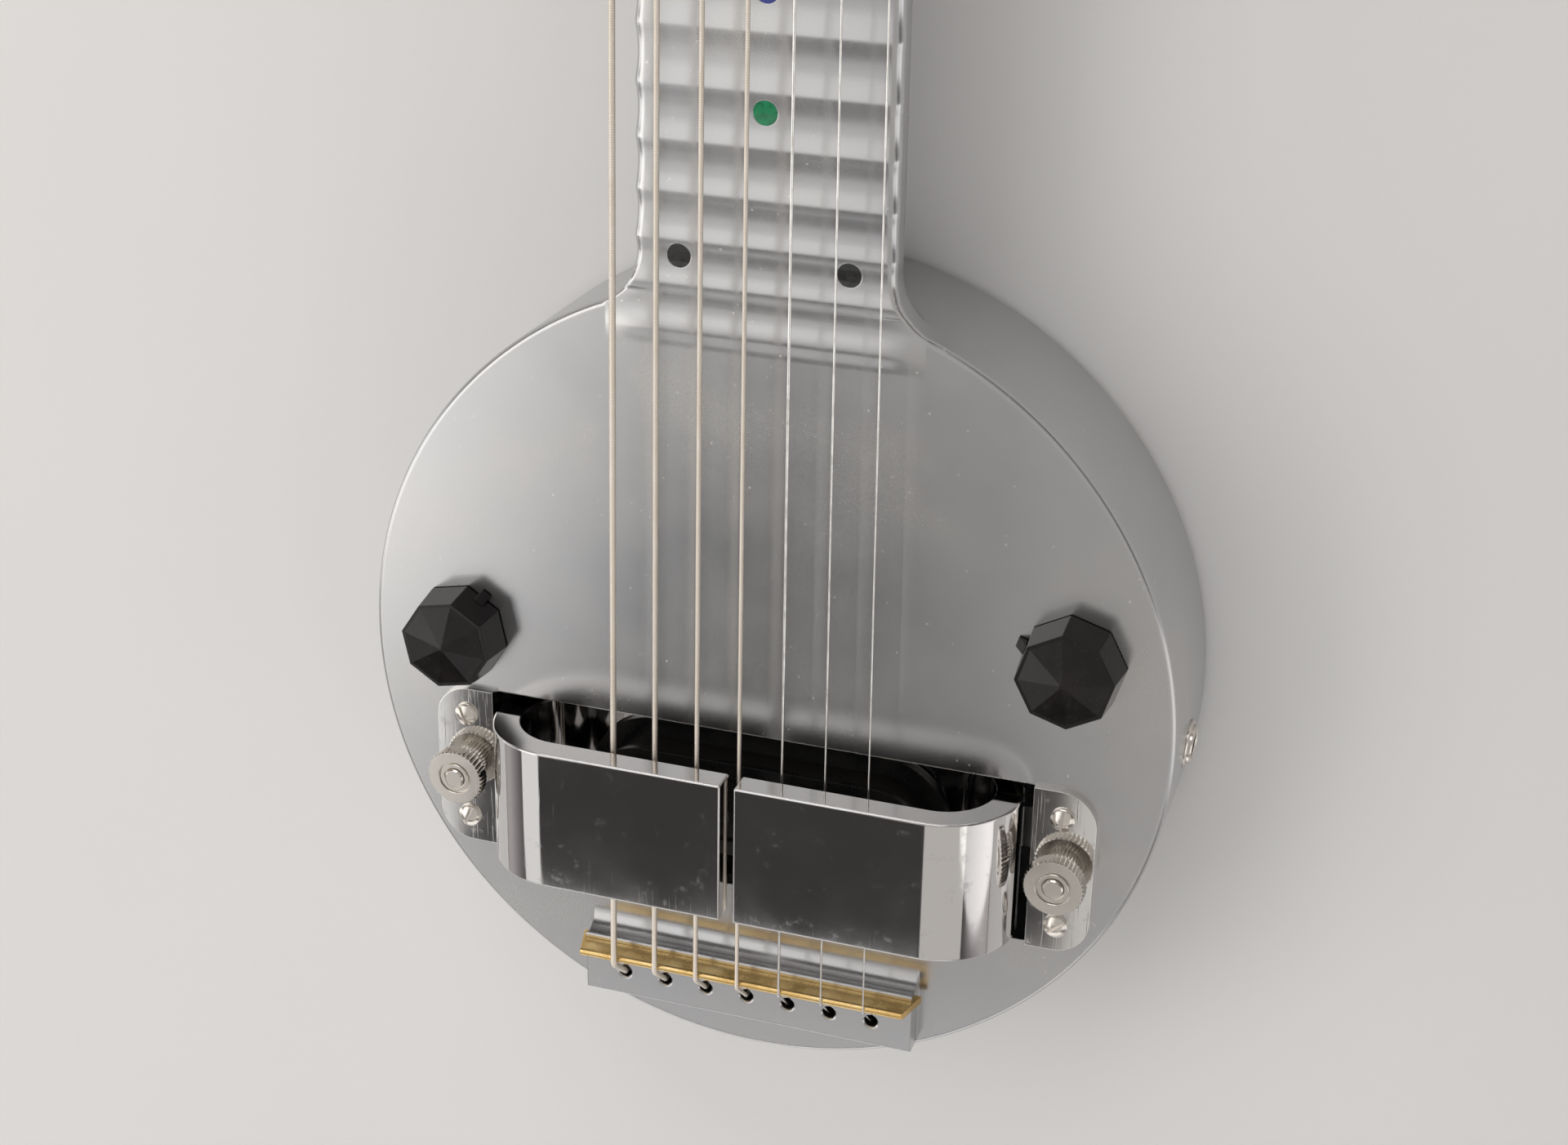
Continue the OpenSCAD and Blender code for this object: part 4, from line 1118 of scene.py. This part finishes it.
def surround():
    """A room that is pale at the horizon and dim overhead."""
    world = bpy.data.worlds.new("surround")
    world.use_nodes = True
    nodes, links = world.node_tree.nodes, world.node_tree.links
    split = nodes.new("ShaderNodeSeparateXYZ")
    links.new(nodes.new("ShaderNodeTexCoord").outputs["Generated"], split.inputs["Vector"])
    fade = nodes.new("ShaderNodeMapRange")
    links.new(split.outputs["Z"], fade.inputs["Value"])
    for socket, value in (("From Min", 0.12), ("From Max", 0.55), ("To Min", 0.75), ("To Max", 0.085)):
        fade.inputs[socket].default_value = value
    nodes["Background"].inputs["Color"].default_value = (0.67, 0.62, 0.62, 1)
    links.new(fade.outputs["Result"], nodes["Background"].inputs["Strength"])
    bpy.context.scene.world = world
    bpy.context.scene.view_settings.view_transform = "Standard"


def floor():
    """A wide sheet that turns up behind the head, like studio paper."""
    reach, rise = 3200, 900
    bend = arc(reach * 0.6, rise - 0.5, rise, 270, 360, 24)
    outline = [(-reach, -0.5)] + bend + [(reach * 0.6 + rise, reach)]
    back = [(p[0] - 2, p[1] - 4) for p in reversed(outline)]
    obj = solid("floor", across([(y, z) for y, z in back + outline][::-1], -reach, reach))
    smooth(obj, 40)
    obj.data.materials.append(floor_paper())


# ---- the whole instrument ----


def fine_pieces(finish):
    """Detailed pieces that stand for CAD nodes: object, finish, body and the nodes."""
    finished(casting(), finish["cast_aluminium"], "body", "cast_aluminium", "body_casting")
    for side, word in ((-1, "left"), (1, "right")):
        finished(magnet(f"magnet_{word}_fine", side), finish["magnet_steel"], "pickup", "magnet_steel",
                 f"magnet_{word}")
        finished(bracket(f"bracket_{word}_fine", side), finish["nickel_bright"], "body", "nickel",
                 f"bracket_{word}")
        finished(thumb_nut(f"thumb_nut_{word}_fine", side), finish["nickel"], f"thumb_{word}",
                 "nickel", f"thumb_nut_{word}")
    finished(bobbin(), finish["bobbin_black"], "pickup", "bobbin_black", "coil_bobbin")
    finished(winding(), finish["coil_wire"], "pickup", "coil_wire", "coil_winding")
    finished(studs(), finish["nickel"], "pickup", "nickel", "height_studs")
    coils = finished(springs(), finish["spring_steel"], "body", "spring_steel", "height_springs")
    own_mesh(coils)
    finished(bracket_screws(), finish["nickel"], "body", "nickel", "bracket_screws")
    for name, x, y, bearing in KNOBS:
        finished(knob(f"{name}_knob_fine", x, y, bearing), finish["knob_black"], name, "knob_black",
                 f"{name}_knob")
    finished(jack(), finish["nickel"], "body", "nickel", "output_jack")
    finished(jack_nut(), finish["nickel"], "body", "nickel", "jack_nut")
    for i in ALL_STRINGS:
        slot = "wound_string" if i <= WOUND else "plain_string"
        finished(string(i), finish[slot], "body", slot, f"string_{i}")


def finishes():
    return {
        "cast_aluminium": cast_aluminium(),
        "magnet_steel": polished_metal("magnet_steel", (0.62, 0.61, 0.605), 0.045, 0.3),
        "nickel_bright": polished_metal("nickel_bright", (0.74, 0.73, 0.715), 0.05, 0.2),
        "nickel": polished_metal("nickel", (0.70, 0.665, 0.615), 0.17, 0.1),
        "spring_steel": polished_metal("spring_steel", (0.45, 0.45, 0.46), 0.25, 0.1),
        "pickup_plate": polished_metal("pickup_plate", (0.58, 0.58, 0.57), 0.3, 0.2),
        "brass": brass(),
        "wound_string": wound_wire(),
        "plain_string": plain_wire(),
        "bobbin_black": moulded("bobbin_black", (0.007, 0.007, 0.007), (0.018, 0.017, 0.016), 0.24),
        "knob_black": moulded("knob_black", (0.007, 0.006, 0.006), (0.016, 0.013, 0.012), 0.12),
        "coil_wire": coil_wire(),
        "capacitor_wax": waxed_paper(),
        "wire_cloth": cloth_wire(),
        "dot_black": enamel("dot_black", (0.012, 0.012, 0.012)),
        "dot_green": enamel("dot_green", (0.0, 0.26, 0.10)),
        "dot_blue": enamel("dot_blue", (0.01, 0.03, 0.30)),
        "dot_red": enamel("dot_red", (0.35, 0.015, 0.01)),
    }


def paint_nodes(frame, finish):
    """CAD nodes that stay visible get the finish of their material slot in the record."""
    for part in frame["record"]["subparts"]:
        node = frame["nodes"][part["node"]]
        node.data.materials.clear()
        node.data.materials.append(finish[part["material_slot"]])


def main():
    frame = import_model()
    camera()
    studio()
    surround()
    floor()
    finish = finishes()
    paint_nodes(frame, finish)
    fine_pieces(finish)


main()
